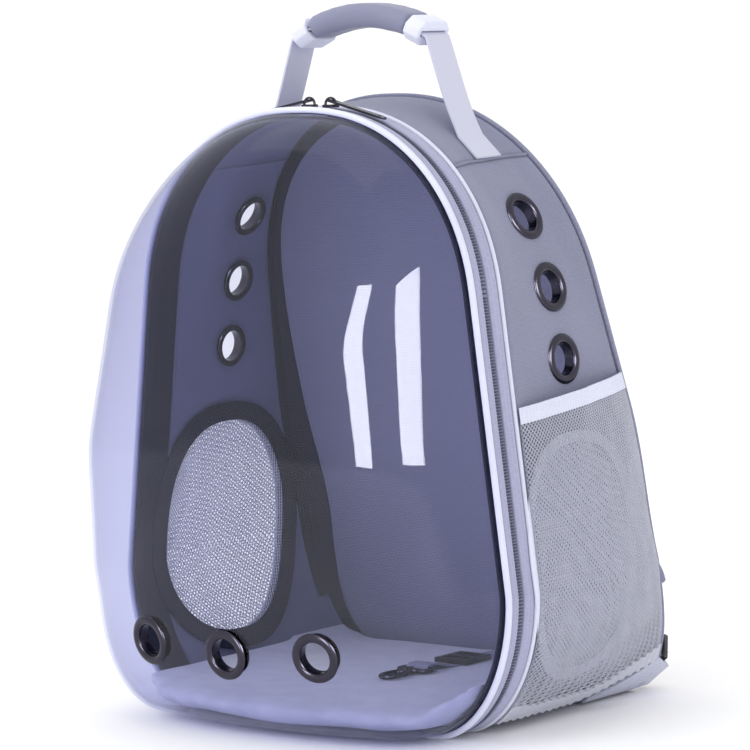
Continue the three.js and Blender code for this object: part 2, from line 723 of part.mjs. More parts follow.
// Height of the inside of the shell or bubble above the floor, with a clearance
function insideFloor(x, y, clear) {
  const before = Math.max(0, RIM_Y - y) / BUBBLE_DEPTH;
  const depth = Math.max(0, y - PANEL_Y) / (BASE_DEPTH / 2 - PANEL_Y);
  const corner = stopsBetween(BASE_STOP - 1, BASE_STOP + CORNER_STEPS).map((stop) => {
    const point = depth > 0 ? wallPoint(stop, depth, -clear) : bandPoint(stop, y, -clear);
    const power = bubblePower(point.x, point.z);
    const share = (1 - before ** power) ** (1 / power);
    return new THREE.Vector2(point.x * share, BUBBLE_CENTRE_Z + (point.z - BUBBLE_CENTRE_Z) * share);
  });
  const next = corner.findIndex((point) => point.x >= Math.abs(x));
  const [a, b] = [corner[next - 1] ?? corner[0], corner[next]];
  return a.y + (b.y - a.y) * (Math.abs(x) - a.x) / (b.x - a.x || 1);
}

// Columns of the pad from its bowed front edge to the back panel, in one row at distance x
function padColumns(x) {
  const reach = x > 0 ? PAD_RIGHT : PAD_LEFT;
  const bow = (1 - Math.min(1, Math.abs(x) / (1.03 * reach)) ** PAD_FRONT_POWER) ** (1 / PAD_FRONT_POWER);
  const front = RIM_Y - PAD_FRONT * bow;
  const rimEnd = RIM_Y + INNER_BINDING_WIDE + 2 * GAP;
  const bodyStart = rimEnd + WALL;
  const back = backY(Math.max(PAD_TOP, insideFloor(x, 0, 2 * WALL) + 2 * PAD_EDGE)) - 2 * GAP;
  const inRim = [0, 0.1, 0.3, 0.65, 1].map((share) => front + (rimEnd - front) * share);
  return [...inRim, bodyStart, (bodyStart + back) / 2, back - 0.6 * PAD_EDGE, back];
}

function addFloorPad() {
  const rimClear = BUBBLE_INSET + BUBBLE_SHEET + INNER_BINDING_THICK + 3 * GAP;
  const bodyClear = WALL + GAP;
  const windowClear = WALL + NET_THICK + INNER_BINDING_THICK + 4 * GAP;
  const rows = 10;
  const plan = (under) => Array.from({ length: rows + 1 }, (_, r) => {
    const turn = Math.sin((r / rows - 0.5) * Math.PI);
    const x = turn * (turn > 0 ? PAD_RIGHT : PAD_LEFT);
    return padColumns(x).map((y, c, columns) => {
      const beside = Math.abs(turn) > 0.8 ? windowClear : bodyClear;
      const floor = insideFloor(x, y, c < 5 ? rimClear : beside);
      const thin = c === 0 || c === columns.length - 1 || r === 0 || r === rows ? PAD_EDGE / 2 : 0;
      const top = Math.max(PAD_TOP, floor + PAD_EDGE) - thin;
      return new THREE.Vector3(x, y, under ? floor : top);
    });
  });
  put('floor_pad', slabSolid(plan(false), plan(true)), 'pad');
}

// Strips along a path, with their width along a guide direction

function frames(path, guides) {
  return path.map((point, i) => {
    const before = path[Math.max(0, i - 1)];
    const after = path[Math.min(path.length - 1, i + 1)];
    const along = after.clone().sub(before).normalize();
    const guide = guides[Math.min(i, guides.length - 1)];
    const across = guide.clone().addScaledVector(along, -guide.dot(along)).normalize();
    return { point, across, up: along.clone().cross(across) };
  });
}

function sectionAt({ point, across, up }, section) {
  return section.map(([a, b]) => point.clone().addScaledVector(across, a).addScaledVector(up, b));
}

function boxSection(wide, thick) {
  return [[-wide / 2, -thick / 2], [wide / 2, -thick / 2], [wide / 2, thick / 2], [-wide / 2, thick / 2]];
}

function softSection(wide, thick, corner) {
  const w = wide / 2;
  const t = thick / 2;
  return [
    [-w + corner, -t], [w - corner, -t], [w, -t * 0.35], [w, t * 0.35],
    [w - corner, t], [-w + corner, t], [-w, t * 0.35], [-w, -t * 0.35],
  ];
}

function strip(path, guides, section) {
  const loops = frames(path, guides).map((frame) => sectionAt(frame, section));
  return sweepSolid(loops, section);
}

function smooth(points, count) {
  return new THREE.CatmullRomCurve3(points, false, 'centripetal').getSpacedPoints(count);
}

// Carry handle

const Y_AXIS = new THREE.Vector3(0, 1, 0);
const HANDLE_Y = RIM_Y + HANDLE_FROM_RIM;

function gripPath(from, to, count) {
  return Array.from({ length: count + 1 }, (_, i) => {
    const x = from + (to - from) * i / count;
    return new THREE.Vector3(x, HANDLE_Y, HANDLE_TOP - HANDLE_ARCH * (x / GRIP_HALF) ** 2);
  });
}

// The sewn end of the webbing lies on the top panel, from the shoulder seam inwards
function handleFoot() {
  const lift = WEB_THICK / 2 + 3 * GAP;
  return [STOPS[SEAM_STOP], STOPS[SEAM_STOP + 1]].map((stop) => {
    const share = (HANDLE_Y - PANEL_Y) / (backY(stop.z) - PANEL_Y);
    const point = wallPoint(stop, share, lift).setY(HANDLE_Y);
    return { point, seat: wallPoint(stop, 1, lift).sub(wallPoint(stop, 0, lift)) };
  });
}

// A hollow soft tube along a path, with a slot for the webbing
function slottedTube(path, wide, thick) {
  const outer = softSection(wide, thick, thick * 0.3);
  const halfWide = WEB_WIDE / 2 + GAP;
  const halfThick = WEB_THICK / 2 + 3 * GAP;
  const inner = [
    [-halfWide, -halfThick], [halfWide, -halfThick], [halfWide, -halfThick / 3], [halfWide, halfThick / 3],
    [halfWide, halfThick], [-halfWide, halfThick], [-halfWide, halfThick / 3], [-halfWide, -halfThick / 3],
  ];
  const stations = frames(path, [Y_AXIS]);
  const outside = stations.map((frame) => sectionAt(frame, outer));
  const inside = stations.map((frame) => sectionAt(frame, inner)).reverse();
  return ringSolid([...outside, ...inside]);
}

function addHandle() {
  const [foot, lift] = handleFoot();
  const reach = GRIP_HALF + 3;
  const [end] = gripPath(reach, reach, 1);
  const bend = end.clone().add(new THREE.Vector3(2.5, 0, -7));
  const knee = lift.point.clone().lerp(bend, 0.35).add(new THREE.Vector3(-1.5, 0, 0));
  const right = [foot.point, ...smooth([lift.point, knee, bend], 7), end];
  const left = right.slice().reverse().map((point) => new THREE.Vector3(-point.x, point.y, point.z));
  const arch = gripPath(reach, -reach, 10).slice(1, -1);
  const path = [...right, ...arch, ...left];
  const mirrored = foot.seat.clone().multiply(new THREE.Vector3(-1, 1, 1));
  const guides = path.map((_, i) => (i < 2 ? foot.seat : i > path.length - 3 ? mirrored : Y_AXIS));
  put('handle_webbing', strip(path, guides, boxSection(WEB_WIDE, WEB_THICK)), 'light');
  const grip = GRIP_HALF - GRIP_BOUND - 3 * GAP;
  put('handle_grip', slottedTube(gripPath(-grip, grip, 8), GRIP_WIDE, GRIP_THICK), 'cloth');
  for (const [side, word] of [[1, 'right'], [-1, 'left']]) {
    const bound = gripPath(side * (GRIP_HALF - GRIP_BOUND), side * GRIP_HALF, 1);
    const solid = slottedTube(bound, GRIP_WIDE + 2 * BOUND_PROUD, GRIP_THICK + 2 * BOUND_PROUD);
    put(`grip_end_${word}`, solid, 'light');
  }
}

// Shoulder straps

// Rows along a strap: share of the height, of the half width, and of the depth behind the back panel
const STRAP_ROWS = [
  { high: 0.926, out: 0.233, off: 0.034 },
  { high: 0.867, out: 0.258, off: 0.059 },
  { high: 0.768, out: 0.307, off: 0.107 },
  { high: 0.616, out: 0.393, off: 0.141 },
  { high: 0.468, out: 0.491, off: 0.137 },
  { high: 0.333, out: 0.571, off: 0.117 },
  { high: 0.165, out: 0.66, off: 0.1 },
];
const LOCK_PLACE = {
  x: WIDEST_HALF - 1.8 * WEB_WIDE,
  fromRim: BASE_DEPTH + 5.5 * LOCK_THICK,
  z: 0.8 * WEB_WIDE,
};
const LOCK_ACROSS = new THREE.Vector3(0.775, 0, 0.632).normalize();
const LOCK_ALONG = new THREE.Vector3(-0.45, 0.7, 0.552).normalize();

function behindBack(side, x, z, off) {
  const length = Math.hypot(1, BACK_LEAN);
  return new THREE.Vector3(side * x, backY(z) + (BACK_THICK + off) * length, z);
}

function lockSolid() {
  const long = 3 * LOCK_BAR + 2 * LOCK_SLOT;
  const shape = new THREE.Shape([
    new THREE.Vector2(-LOCK_WIDE / 2, -long / 2), new THREE.Vector2(LOCK_WIDE / 2, -long / 2),
    new THREE.Vector2(LOCK_WIDE / 2, long / 2), new THREE.Vector2(-LOCK_WIDE / 2, long / 2),
  ]);
  for (const middle of [-1, 1]) {
    const centre = middle * (LOCK_BAR + LOCK_SLOT) / 2;
    const half = WEB_WIDE / 2 + 1;
    shape.holes.push(new THREE.Path([
      new THREE.Vector2(-half, centre - LOCK_SLOT / 2), new THREE.Vector2(-half, centre + LOCK_SLOT / 2),
      new THREE.Vector2(half, centre + LOCK_SLOT / 2), new THREE.Vector2(half, centre - LOCK_SLOT / 2),
    ]));
  }
  const plate = new THREE.ExtrudeGeometry(shape, { depth: LOCK_THICK, bevelEnabled: false });
  return plate.translate(0, 0, -LOCK_THICK / 2);
}

function addStraps() {
  for (const [side, word] of [[1, 'right'], [-1, 'left']]) {
    const flip = new THREE.Vector3(side, 1, 1);
    const across = new THREE.Vector3(side, -STRAP_TURN * BACK_LEAN, STRAP_TURN).normalize();
    const rows = STRAP_ROWS.map(({ high, out, off }) => (
      behindBack(side, out * WIDEST_HALF, high * SHELL_HEIGHT, off * BASE_DEPTH)
    ));
    const pad = smooth(rows, 14);
    put(`shoulder_strap_${word}`, strip(pad, [across], softSection(STRAP_WIDE, STRAP_THICK, 4)), 'cloth');
    const lockAcross = LOCK_ACROSS.clone().multiply(flip);
    const lockAlong = LOCK_ALONG.clone().multiply(flip);
    const lockUp = lockAcross.clone().cross(lockAlong).multiplyScalar(side);
    const centre = new THREE.Vector3(side * LOCK_PLACE.x, RIM_Y + LOCK_PLACE.fromRim, LOCK_PLACE.z);
    const lock = put(`strap_lock_${word}`, lockSolid(), 'plastic');
    lock.matrixAutoUpdate = false;
    lock.matrix.makeBasis(lockAcross, lockAlong, lockAcross.clone().cross(lockAlong)).setPosition(centre);
    const slotStep = (LOCK_BAR + LOCK_SLOT) / 2;
    const slotHigh = centre.clone().addScaledVector(lockAlong, slotStep);
    const [beforeEnd, padEnd] = pad.slice(-2);
    const onwards = padEnd.clone().sub(beforeEnd).normalize();
    const webStart = padEnd.clone().addScaledVector(onwards, 2 * GAP);
    const webNext = padEnd.clone().addScaledVector(onwards, 0.2 * WEB_WIDE);
    const slant = lockAlong.clone().add(lockUp).normalize();
    const above = slotHigh.clone().addScaledVector(slant, 0.36 * WEB_WIDE);
    const below = slotHigh.clone().addScaledVector(slant, -0.28 * WEB_WIDE);
    const web = [webStart, ...smooth([webNext, webNext.clone().lerp(above, 0.5), above, slotHigh, below], 10)];
    const guides = web.map((_, i) => across.clone().lerp(lockAcross, Math.min(1, i / 6)).normalize());
    put(`strap_webbing_${word}`, strip(web, guides, boxSection(WEB_WIDE, WEB_THICK)), 'dark');
    const slotLow = centre.clone().addScaledVector(lockAlong, -slotStep);
    put(`strap_tab_${word}`, strapTab(side, slotLow, slant, lockAcross), 'light');
  }
}

// A cloth tab sewn on the low back corner, growing from a point to the width of the lock
function strapTab(side, slot, slant, lockAcross) {
  const up = lockAcross.clone().cross(slant).multiplyScalar(-side);
  const columns = [0, 0.3, 0.65, 1];
  const face = (extra) => {
    const sewn = [0, 0.33, 0.67, 1].map((share) => {
      const y = RIM_Y + TAB_FRONT + (BASE_DEPTH - TAB_FRONT - BACK_THICK) * share;
      const tall = TAB_TALL * (0.08 + 0.92 * share);
      return columns.map((column) => besideWall(side, y, TAB_FOOT + tall * column, SEWN + extra));
    });
    const threaded = [-0.36, 0, 0.2].map((step) => columns.map((column) => slot.clone()
      .addScaledVector(slant, step * WEB_WIDE)
      .addScaledVector(lockAcross, (column - 0.5) * (WEB_WIDE - 2))
      .addScaledVector(up, extra - TAB_THICK / 2)));
    return [...sewn, ...threaded];
  };
  return slabSolid(face(TAB_THICK), face(0));
}

// Zip sliders and pulls

const SLIDERS = [{ word: 'left', x: -1, side: -1 }, { word: 'right', x: 17, side: 1 }];

function crownZ(x) {
  let z = SHELL_HEIGHT;
  while (halfWidth(z) < Math.abs(x)) z -= 0.1;
  return z;
}

function barArc(radius, wire, from, to, steps) {
  return Array.from({ length: steps + 1 }, (_, i) => {
    const angle = from + (to - from) * i / steps;
    return new THREE.Vector3((radius + wire / 2) * Math.cos(angle), 0, (radius + wire / 2) * Math.sin(angle));
  });
}

function sliderSolid() {
  const body = new THREE.BoxGeometry(SLIDER_LONG, SLIDER_WIDE, SLIDER_TALL);
  body.translate(0, 0, SLIDER_TALL / 2);
  const arc = barArc(BAIL_INNER, BAIL_WIRE, 0, Math.PI, 8);
  const legs = [arc[0].clone().setZ(-0.5), ...arc, arc[arc.length - 1].clone().setZ(-0.5)];
  const bail = strip(legs, [Y_AXIS], boxSection(BAIL_WIRE, BAIL_WIRE)).translate(0, 0, SLIDER_TALL);
  return fuse([body, bail]);
}

// The pull's cross bar lies on its hinge line, and the tab lies along +X
function pullSolid() {
  const bar = 0.8;
  const half = PULL_WIDE / 2;
  const shape = new THREE.Shape([
    new THREE.Vector2(-bar, -half), new THREE.Vector2(PULL_LONG - 3, -half * 0.8),
    new THREE.Vector2(PULL_LONG, -half * 0.3), new THREE.Vector2(PULL_LONG, half * 0.3),
    new THREE.Vector2(PULL_LONG - 3, half * 0.8), new THREE.Vector2(-bar, half),
  ]);
  const arm = BAIL_WIRE / 2 + 2 * GAP;
  shape.holes.push(new THREE.Path([
    new THREE.Vector2(bar, -arm), new THREE.Vector2(bar, arm),
    new THREE.Vector2(PULL_EYE, arm), new THREE.Vector2(PULL_EYE, -arm),
  ]));
  const tip = new THREE.Path().absarc(PULL_LONG - 5, 0, 1.4, 0, 2 * Math.PI, true);
  shape.holes.push(tip);
  const tab = new THREE.ExtrudeGeometry(shape, { depth: PULL_THICK, bevelEnabled: false, curveSegments: 8 });
  return tab.translate(0, 0, -PULL_THICK / 2);
}

function addSliders() {
  for (const { word, x, side } of SLIDERS) {
    const seat = Math.max(crownZ(x - SLIDER_LONG / 2), crownZ(x + SLIDER_LONG / 2), crownZ(x)) + GAP;
    put(`zip_slider_${word}`, sliderSolid(), 'metal').position.set(x, COIL_Y, seat);
    const hinge = seat + SLIDER_TALL + PULL_HINGE;
    const clear = PULL_THICK / 2 + 2 * GAP;
    const reaches = Array.from({ length: 20 }, (_, i) => (i + 1) * PULL_LONG / 20);
    const under = reaches.map((reach) => (
      reach <= SLIDER_LONG / 2 + 1 ? seat + SLIDER_TALL : crownZ(x + side * reach)
    ));
    const droop = Math.min(...reaches.map((reach, i) => Math.atan((hinge - clear - under[i]) / reach)));
    const pull = put(`zip_pull_${word}`, pullSolid(), 'metal');
    pull.position.set(x, COIL_Y, hinge);
    pull.rotation.set(0, side > 0 ? droop : Math.PI - droop, 0);
  }
}

// Tether

function addTether() {
  const top = PAD_TOP + GAP + TETHER_THICK / 2;
  const bar = { y: RIM_Y + 0.43 * BASE_DEPTH, z: PAD_TOP + 2 * GAP + TETHER_THICK + HOOK_WIRE };
  const turn = HOOK_WIRE + GAP + TETHER_THICK / 2;
  const loop = Array.from({ length: 7 }, (_, i) => {
    const angle = Math.PI / 2 + Math.PI * i / 6;
    return [bar.y + turn * Math.cos(angle), bar.z + turn * Math.sin(angle)];
  });
  const wallGap = 3 * GAP + TETHER_THICK / 2;
  const route = [
    [backY(TETHER_WALL_Z) - wallGap, TETHER_WALL_Z],
    [backY(PAD_TOP + 12) - wallGap, PAD_TOP + 12],
    [backY(PAD_TOP) - 7, top + 2],
    [backY(PAD_TOP) - 16, top],
    [bar.y + 0.3 * BASE_DEPTH, top],
    [bar.y + 0.17 * BASE_DEPTH, top],
    [bar.y + 0.12 * BASE_DEPTH, top + 1.2],
    [bar.y + 8, bar.z + turn],
    ...loop,
    [bar.y + 8, bar.z - turn],
  ].map(([y, z]) => new THREE.Vector3(TETHER_X, y, z));
  const across = new THREE.Vector3(1, 0, 0);
  put('tether_strap', strip(route, [across], boxSection(TETHER_WIDE, TETHER_THICK)), 'band');
  const slide = new THREE.Shape([
    new THREE.Vector2(-SLIDE_WIDE / 2, -SLIDE_LONG / 2), new THREE.Vector2(SLIDE_WIDE / 2, -SLIDE_LONG / 2),
    new THREE.Vector2(SLIDE_WIDE / 2, SLIDE_LONG / 2), new THREE.Vector2(-SLIDE_WIDE / 2, SLIDE_LONG / 2),
  ]);
  const slot = (SLIDE_LONG - 3 * SLIDE_BAR) / 2;
  for (const end of [-1, 1]) {
    const centre = end * (slot + SLIDE_BAR) / 2;
    const half = SLIDE_WIDE / 2 - SLIDE_BAR;
    slide.holes.push(new THREE.Path([
      new THREE.Vector2(-half, centre - slot / 2), new THREE.Vector2(-half, centre + slot / 2),
      new THREE.Vector2(half, centre + slot / 2), new THREE.Vector2(half, centre - slot / 2),
    ]));
  }
  const plate = new THREE.ExtrudeGeometry(slide, { depth: SLIDE_THICK, bevelEnabled: false });
  put('tether_slide', plate, 'plastic').position.set(TETHER_X, bar.y + 48, top + TETHER_THICK / 2 + GAP);
  addHook(bar);
}

// Snap hook lying on the pad: an eye for the strap, a barrel, and an oval hook closed by its gate
function addHook(bar) {
  const wire = Array.from({ length: 6 }, (_, i) => {
    const angle = (i + 0.5) * Math.PI / 3;
    return [HOOK_WIRE * Math.cos(angle), HOOK_WIRE * Math.sin(angle)];
  });
  const upright = new THREE.Vector3(0, 0, 1);
  const ring = (halfX, halfY, middle, power) => {
    const path = Array.from({ length: 12 }, (_, i) => {
      const angle = i * Math.PI / 6;
      const round = (value) => (Math.abs(value) < 1e-9 ? 0 : Math.sign(value) * Math.abs(value) ** power);
      return new THREE.Vector3(halfX * round(Math.cos(angle)), middle + halfY * round(Math.sin(angle)), 0);
    });
    const stations = path.map((point, i) => {
      const along = path[(i + 1) % 12].clone().sub(path[(i + 11) % 12]).normalize();
      return { point, across: upright, up: along.clone().cross(upright) };
    });
    return ringSolid(stations.map((station) => sectionAt(station, wire)));
  };
  const eyeHalf = TETHER_WIDE / 2 + HOOK_WIRE + 1;
  const eye = ring(eyeHalf, 4.8, -4.8, 0.3);
  const barrel = new THREE.CylinderGeometry(3.3, 3.3, 8, 10).translate(0, -12.5, 0);
  const loop = ring(HOOK_HALF, 12, -27.5, 0.8);
  const hook = put('tether_hook', fuse([eye, barrel, loop]), 'metal');
  hook.position.set(TETHER_X, bar.y, bar.z);
}

addFrontBands();
addBubble();
addPanels();
addBackPanel();
addPockets();
addFloorPad();
addHandle();
addStraps();
addSliders();
addTether();

export default root;
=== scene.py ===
import math

import bmesh
import bpy
import numpy as np
from mathutils import Matrix, Quaternion, Vector, noise


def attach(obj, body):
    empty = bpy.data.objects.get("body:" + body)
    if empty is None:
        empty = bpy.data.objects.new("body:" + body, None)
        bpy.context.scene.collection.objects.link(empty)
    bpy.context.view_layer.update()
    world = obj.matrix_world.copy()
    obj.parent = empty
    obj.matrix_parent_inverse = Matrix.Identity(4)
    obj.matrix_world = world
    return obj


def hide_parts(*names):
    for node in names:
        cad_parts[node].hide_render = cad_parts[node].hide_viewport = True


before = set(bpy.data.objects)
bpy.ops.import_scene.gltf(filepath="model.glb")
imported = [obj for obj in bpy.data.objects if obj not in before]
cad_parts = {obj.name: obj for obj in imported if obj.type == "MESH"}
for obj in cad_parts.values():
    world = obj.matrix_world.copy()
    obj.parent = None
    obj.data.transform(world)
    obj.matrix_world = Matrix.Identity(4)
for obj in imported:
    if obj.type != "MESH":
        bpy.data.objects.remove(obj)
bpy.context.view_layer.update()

BODY = "carrier"
scene = bpy.context.scene


# Viewpoint of the photo: a long lens near the height of the pack's middle, to the right of its
# clear front, with the horizon a little turned.
AIM = Vector((0.060, -0.1025, 0.234))
AZIMUTH, ELEVATION, ROLL = math.radians(38.91), math.radians(5.29), math.radians(-1.52)
DISTANCE = 2.35
LENS = 174.9

bpy.ops.object.select_all(action="DESELECT")
bpy.ops.object.camera_add()
camera = bpy.context.object
camera.name = "photo_camera"
camera.data.lens = LENS
camera.data.clip_start, camera.data.clip_end = 0.05, 50
outwards = Vector((math.sin(AZIMUTH) * math.cos(ELEVATION),
                   -math.cos(AZIMUTH) * math.cos(ELEVATION), math.sin(ELEVATION)))
camera.location = AIM + DISTANCE * outwards
camera.rotation_mode = "QUATERNION"
camera.rotation_quaternion = (-outwards).to_track_quat("-Z", "Y") @ Quaternion((0, 0, 1), ROLL)
scene.camera = camera


# Studio: a white seamless floor and surround, a large soft lamp above, a key lamp that stays out of
# reflections, and two tall strip lamps that show only as bright bars in the clear front.
def srgb(red, green, blue):
    """A colour read from a screen, 0 to 255, as the linear values that a shader takes."""
    def linear(value):
        value /= 255
        return value / 12.92 if value <= 0.04045 else ((value + 0.055) / 1.055) ** 2.4
    return linear(red), linear(green), linear(blue)


def shader_of(name, colour, roughness, **sockets):
    """A new material with one Principled shader; sockets holds further values by socket name."""
    material = bpy.data.materials.new(name)
    material.use_nodes = True
    shader = material.node_tree.nodes["Principled BSDF"]
    shader.inputs["Base Color"].default_value = (*colour, 1)
    shader.inputs["Roughness"].default_value = roughness
    for socket, value in sockets.items():
        shader.inputs[socket.replace("_", " ")].default_value = value
    return material, shader


def added(material, kind, vector=None, **inputs):
    """A new node of that kind in the material, fed by a coordinate, with plain input values."""
    node = material.node_tree.nodes.new(kind)
    for socket, value in inputs.items():
        node.inputs[socket.replace("_", " ")].default_value = value
    if vector is not None:
        material.node_tree.links.new(vector, node.inputs["Vector"])
    return node


def lamp(name, place, aim, wide, tall, power, colour=(1, 1, 1)):
    bpy.ops.object.light_add(type="AREA", location=place)
    light = bpy.context.object
    light.name = name
    light.data.shape = "RECTANGLE"
    light.data.size, light.data.size_y = wide, tall
    light.data.energy = power
    light.data.color = colour
    light.rotation_euler = (Vector(aim) - Vector(place)).to_track_quat("-Z", "Y").to_euler()
    return light


FLOOR_HALF = 4
floor_paint, floor_shader = shader_of("seamless_paper", srgb(254, 254, 255), 0.9)
floor_grain = added(floor_paint, "ShaderNodeTexNoise", Scale=350)
floor_bump = added(floor_paint, "ShaderNodeBump", Strength=0.04, Distance=0.0004)
floor_paint.node_tree.links.new(floor_grain.outputs["Fac"], floor_bump.inputs["Height"])
floor_paint.node_tree.links.new(floor_bump.outputs["Normal"], floor_shader.inputs["Normal"])
bpy.ops.mesh.primitive_plane_add(size=2 * FLOOR_HALF)
floor = bpy.context.object
floor.name = "studio_floor"
floor.data.materials.append(floor_paint)

scene.world = bpy.data.worlds.new("studio_surround")
scene.world.use_nodes = True
surround = scene.world.node_tree.nodes["Background"]
surround.inputs["Color"].default_value = (1, 1, 1, 1)
surround.inputs["Strength"].default_value = 1.03
scene.view_settings.view_transform = "Standard"
LAMP_AWAY = 2.2
LAMP_MIDDLE = Vector((0.11, -0.17, 0.24))
for lamp_name, turn, rise, wide, tall, power in (("front_lamp", 14, 17, 0.60, 1.55, 56),
                                                 ("side_lamp", 75, 17.5, 1.25, 1.15, 84)):
    turn, rise = math.radians(turn), math.radians(rise)
    way = Vector((math.sin(turn) * math.cos(rise), -math.cos(turn) * math.cos(rise), math.sin(rise)))
    strip = lamp(lamp_name, LAMP_MIDDLE + LAMP_AWAY * way, LAMP_MIDDLE, wide, tall, power)
    strip.visible_diffuse = False
lamp("top_lamp", (-0.6, 0.2, 2.6), (0, 0, 0.2), 2.2, 2.2, 8)
key_lamp = lamp("key_lamp", (-1.1, -1.9, 1.5), (0, 0, 0.2), 1.6, 1.6, 16)
key_lamp.visible_glossy = False


# Outline of the shell seen from the front: a flat base, round low corners, sides that lean in and
# a round crown. Every band, wall and seam of the pack follows it.
HEIGHT, SHOULDER_Z, WIDEST_Z = 0.406, 0.285, 0.095
BASE_HALF, WIDEST_HALF, SHOULDER_HALF = 0.098, 0.163, 0.140
CROWN_POWER, CROWN_RISE = 2.3, 0.005
DEPTH, LEAN = 0.205, 0.25
RIM_Y = -DEPTH / 2
PANEL_Y = -0.0706
WALL = 0.003
TAPER = (WIDEST_HALF - SHOULDER_HALF) / (SHOULDER_Z - WIDEST_Z)
RISE = CROWN_RISE / HEIGHT
# Shares of the way from the middle of the base to the top where base, corner and side end
BASE_END, CORNER_END, SIDE_END = 0.16, 0.365, 0.675
SEAM = SIDE_END + (1 - SIDE_END) * 4 / 9
BACK_TUCK, TUCK_Z, TUCK_REACH = 0.07, 0.088, 0.115
WAIST, WAIST_FROM, WAIST_FULL, WAIST_START, WAIST_END = 0.07, 0.2395, 0.350, 0.34, 0.82


def eased(share):
    share = min(1, max(0, share))
    return share * share * (3 - 2 * share)


def narrowing(z, share):
    """Width of the wall against the front's: tucked in low at the back, slack above the pocket."""
    tuck = BACK_TUCK * eased(1 - abs(z - TUCK_Z) / TUCK_REACH)
    waist = WAIST * eased((z - WAIST_FROM) / (WAIST_FULL - WAIST_FROM))
    return 1 - tuck * share - waist * eased(min(share / WAIST_START, (1 - share) / (1 - WAIST_END)))


def half_width(z):
    if z < WIDEST_Z:
        drop = (WIDEST_Z - z) / WIDEST_Z
        return BASE_HALF + (WIDEST_HALF - BASE_HALF) * math.sqrt(max(0, 1 - drop * drop))
    straight = WIDEST_HALF - TAPER * (z - WIDEST_Z)
    climb = min(1, max(0, z - SHOULDER_Z) / (HEIGHT - SHOULDER_Z))
    return straight * (1 - climb ** CROWN_POWER) ** (1 / CROWN_POWER)


def outline_point(way):
    """The outline at a share of the way round: 0 is the middle of the base, 1 the top, 2 the base."""
    way %= 2
    side = 1 if way <= 1 else -1
    way = way if way <= 1 else 2 - way
    if way <= BASE_END:
        return side * BASE_HALF * way / BASE_END, 0
    if way <= CORNER_END:
        angle = (way - BASE_END) / (CORNER_END - BASE_END) * math.pi / 2
        return (side * (BASE_HALF + (WIDEST_HALF - BASE_HALF) * math.sin(angle)),
                WIDEST_Z * (1 - math.cos(angle)))
    if way <= SIDE_END:
        z = WIDEST_Z + (SHOULDER_Z - WIDEST_Z) * (way - CORNER_END) / (SIDE_END - CORNER_END)
        return side * half_width(z), z
    angle = (way - SIDE_END) / (1 - SIDE_END) * math.pi / 2
    z = SHOULDER_Z + (HEIGHT - SHOULDER_Z) * math.sin(angle) ** (2 / CROWN_POWER)
    straight = WIDEST_HALF - TAPER * (z - WIDEST_Z)
    return side * straight * max(0, math.cos(angle)) ** (2 / CROWN_POWER), z


def outline_stop(way):
    """The outline's point with its outward direction."""
    step = 0.004
    (ax, az), (bx, bz) = outline_point(way - step), outline_point(way + step)
    along = Vector((bx - ax, bz - az)).normalized()
    x, z = outline_point(way)
    return x, z, along.y, -along.x


def back_y(z):
    return DEPTH / 2 - LEAN * z


def rim_place(way, y, grow):
    """A point of a front band, at depth y and a distance outside the outline."""
    x, z, nx, nz = outline_stop(way)
    return Vector((x + nx * grow, y, max(0, z + nz * grow)))


def wall_place(way, share, grow):
    """A point of the wall, from the front bands at share 0 to the back panel at share 1."""
    x, z, nx, nz = outline_stop(way)
    end = max(0, z * (1 + RISE) + nz * grow)
    y = PANEL_Y + share * (back_y(end) - PANEL_Y)
    return Vector((x * narrowing(z, share) + nx * grow, y,
                   max(0, z * (1 + RISE * share) + nz * grow)))


def beside_wall(side, y, z, grow):
    """A point beside the wall at a depth and height, on the right (1) or the left (-1)."""
    share = (y - PANEL_Y) / (back_y(z) - PANEL_Y)

    def wide(height):
        level = max(0, height) / (1 + RISE * share)
        return half_width(level) * narrowing(level, share)

    slope = (wide(z + 0.0005) - wide(z - 0.0005)) / (0.001 if z > 0.0005 else z + 0.0005)
    length = math.hypot(1, slope)
    return Vector((side * (wide(z) + grow / length), y, max(0, z - grow * slope / length)))


# Rim and gusset: sewn bands round the front. White piping holds the clear sheet's edge, then come a
# light woven band, the zip on its two tapes, a wider band and a thin piping before the walls.
def finished(piece, name, material, body=BODY, stands_for=(), smooth=40):
    """Names a finished piece, gives it its material, and lets it ride on its body."""
    piece.name = name
    piece.data.name = name
    piece.data.materials.clear()
    piece.data.materials.append(material)
    bpy.ops.object.select_all(action="DESELECT")
    bpy.context.view_layer.objects.active = piece
    piece.select_set(True)
    bpy.ops.object.shade_smooth_by_angle(angle=math.radians(smooth))
    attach(piece, body)
    if stands_for:
        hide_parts(*stands_for)
    return piece


MIDDLE = Vector((0, 0, 0.16))


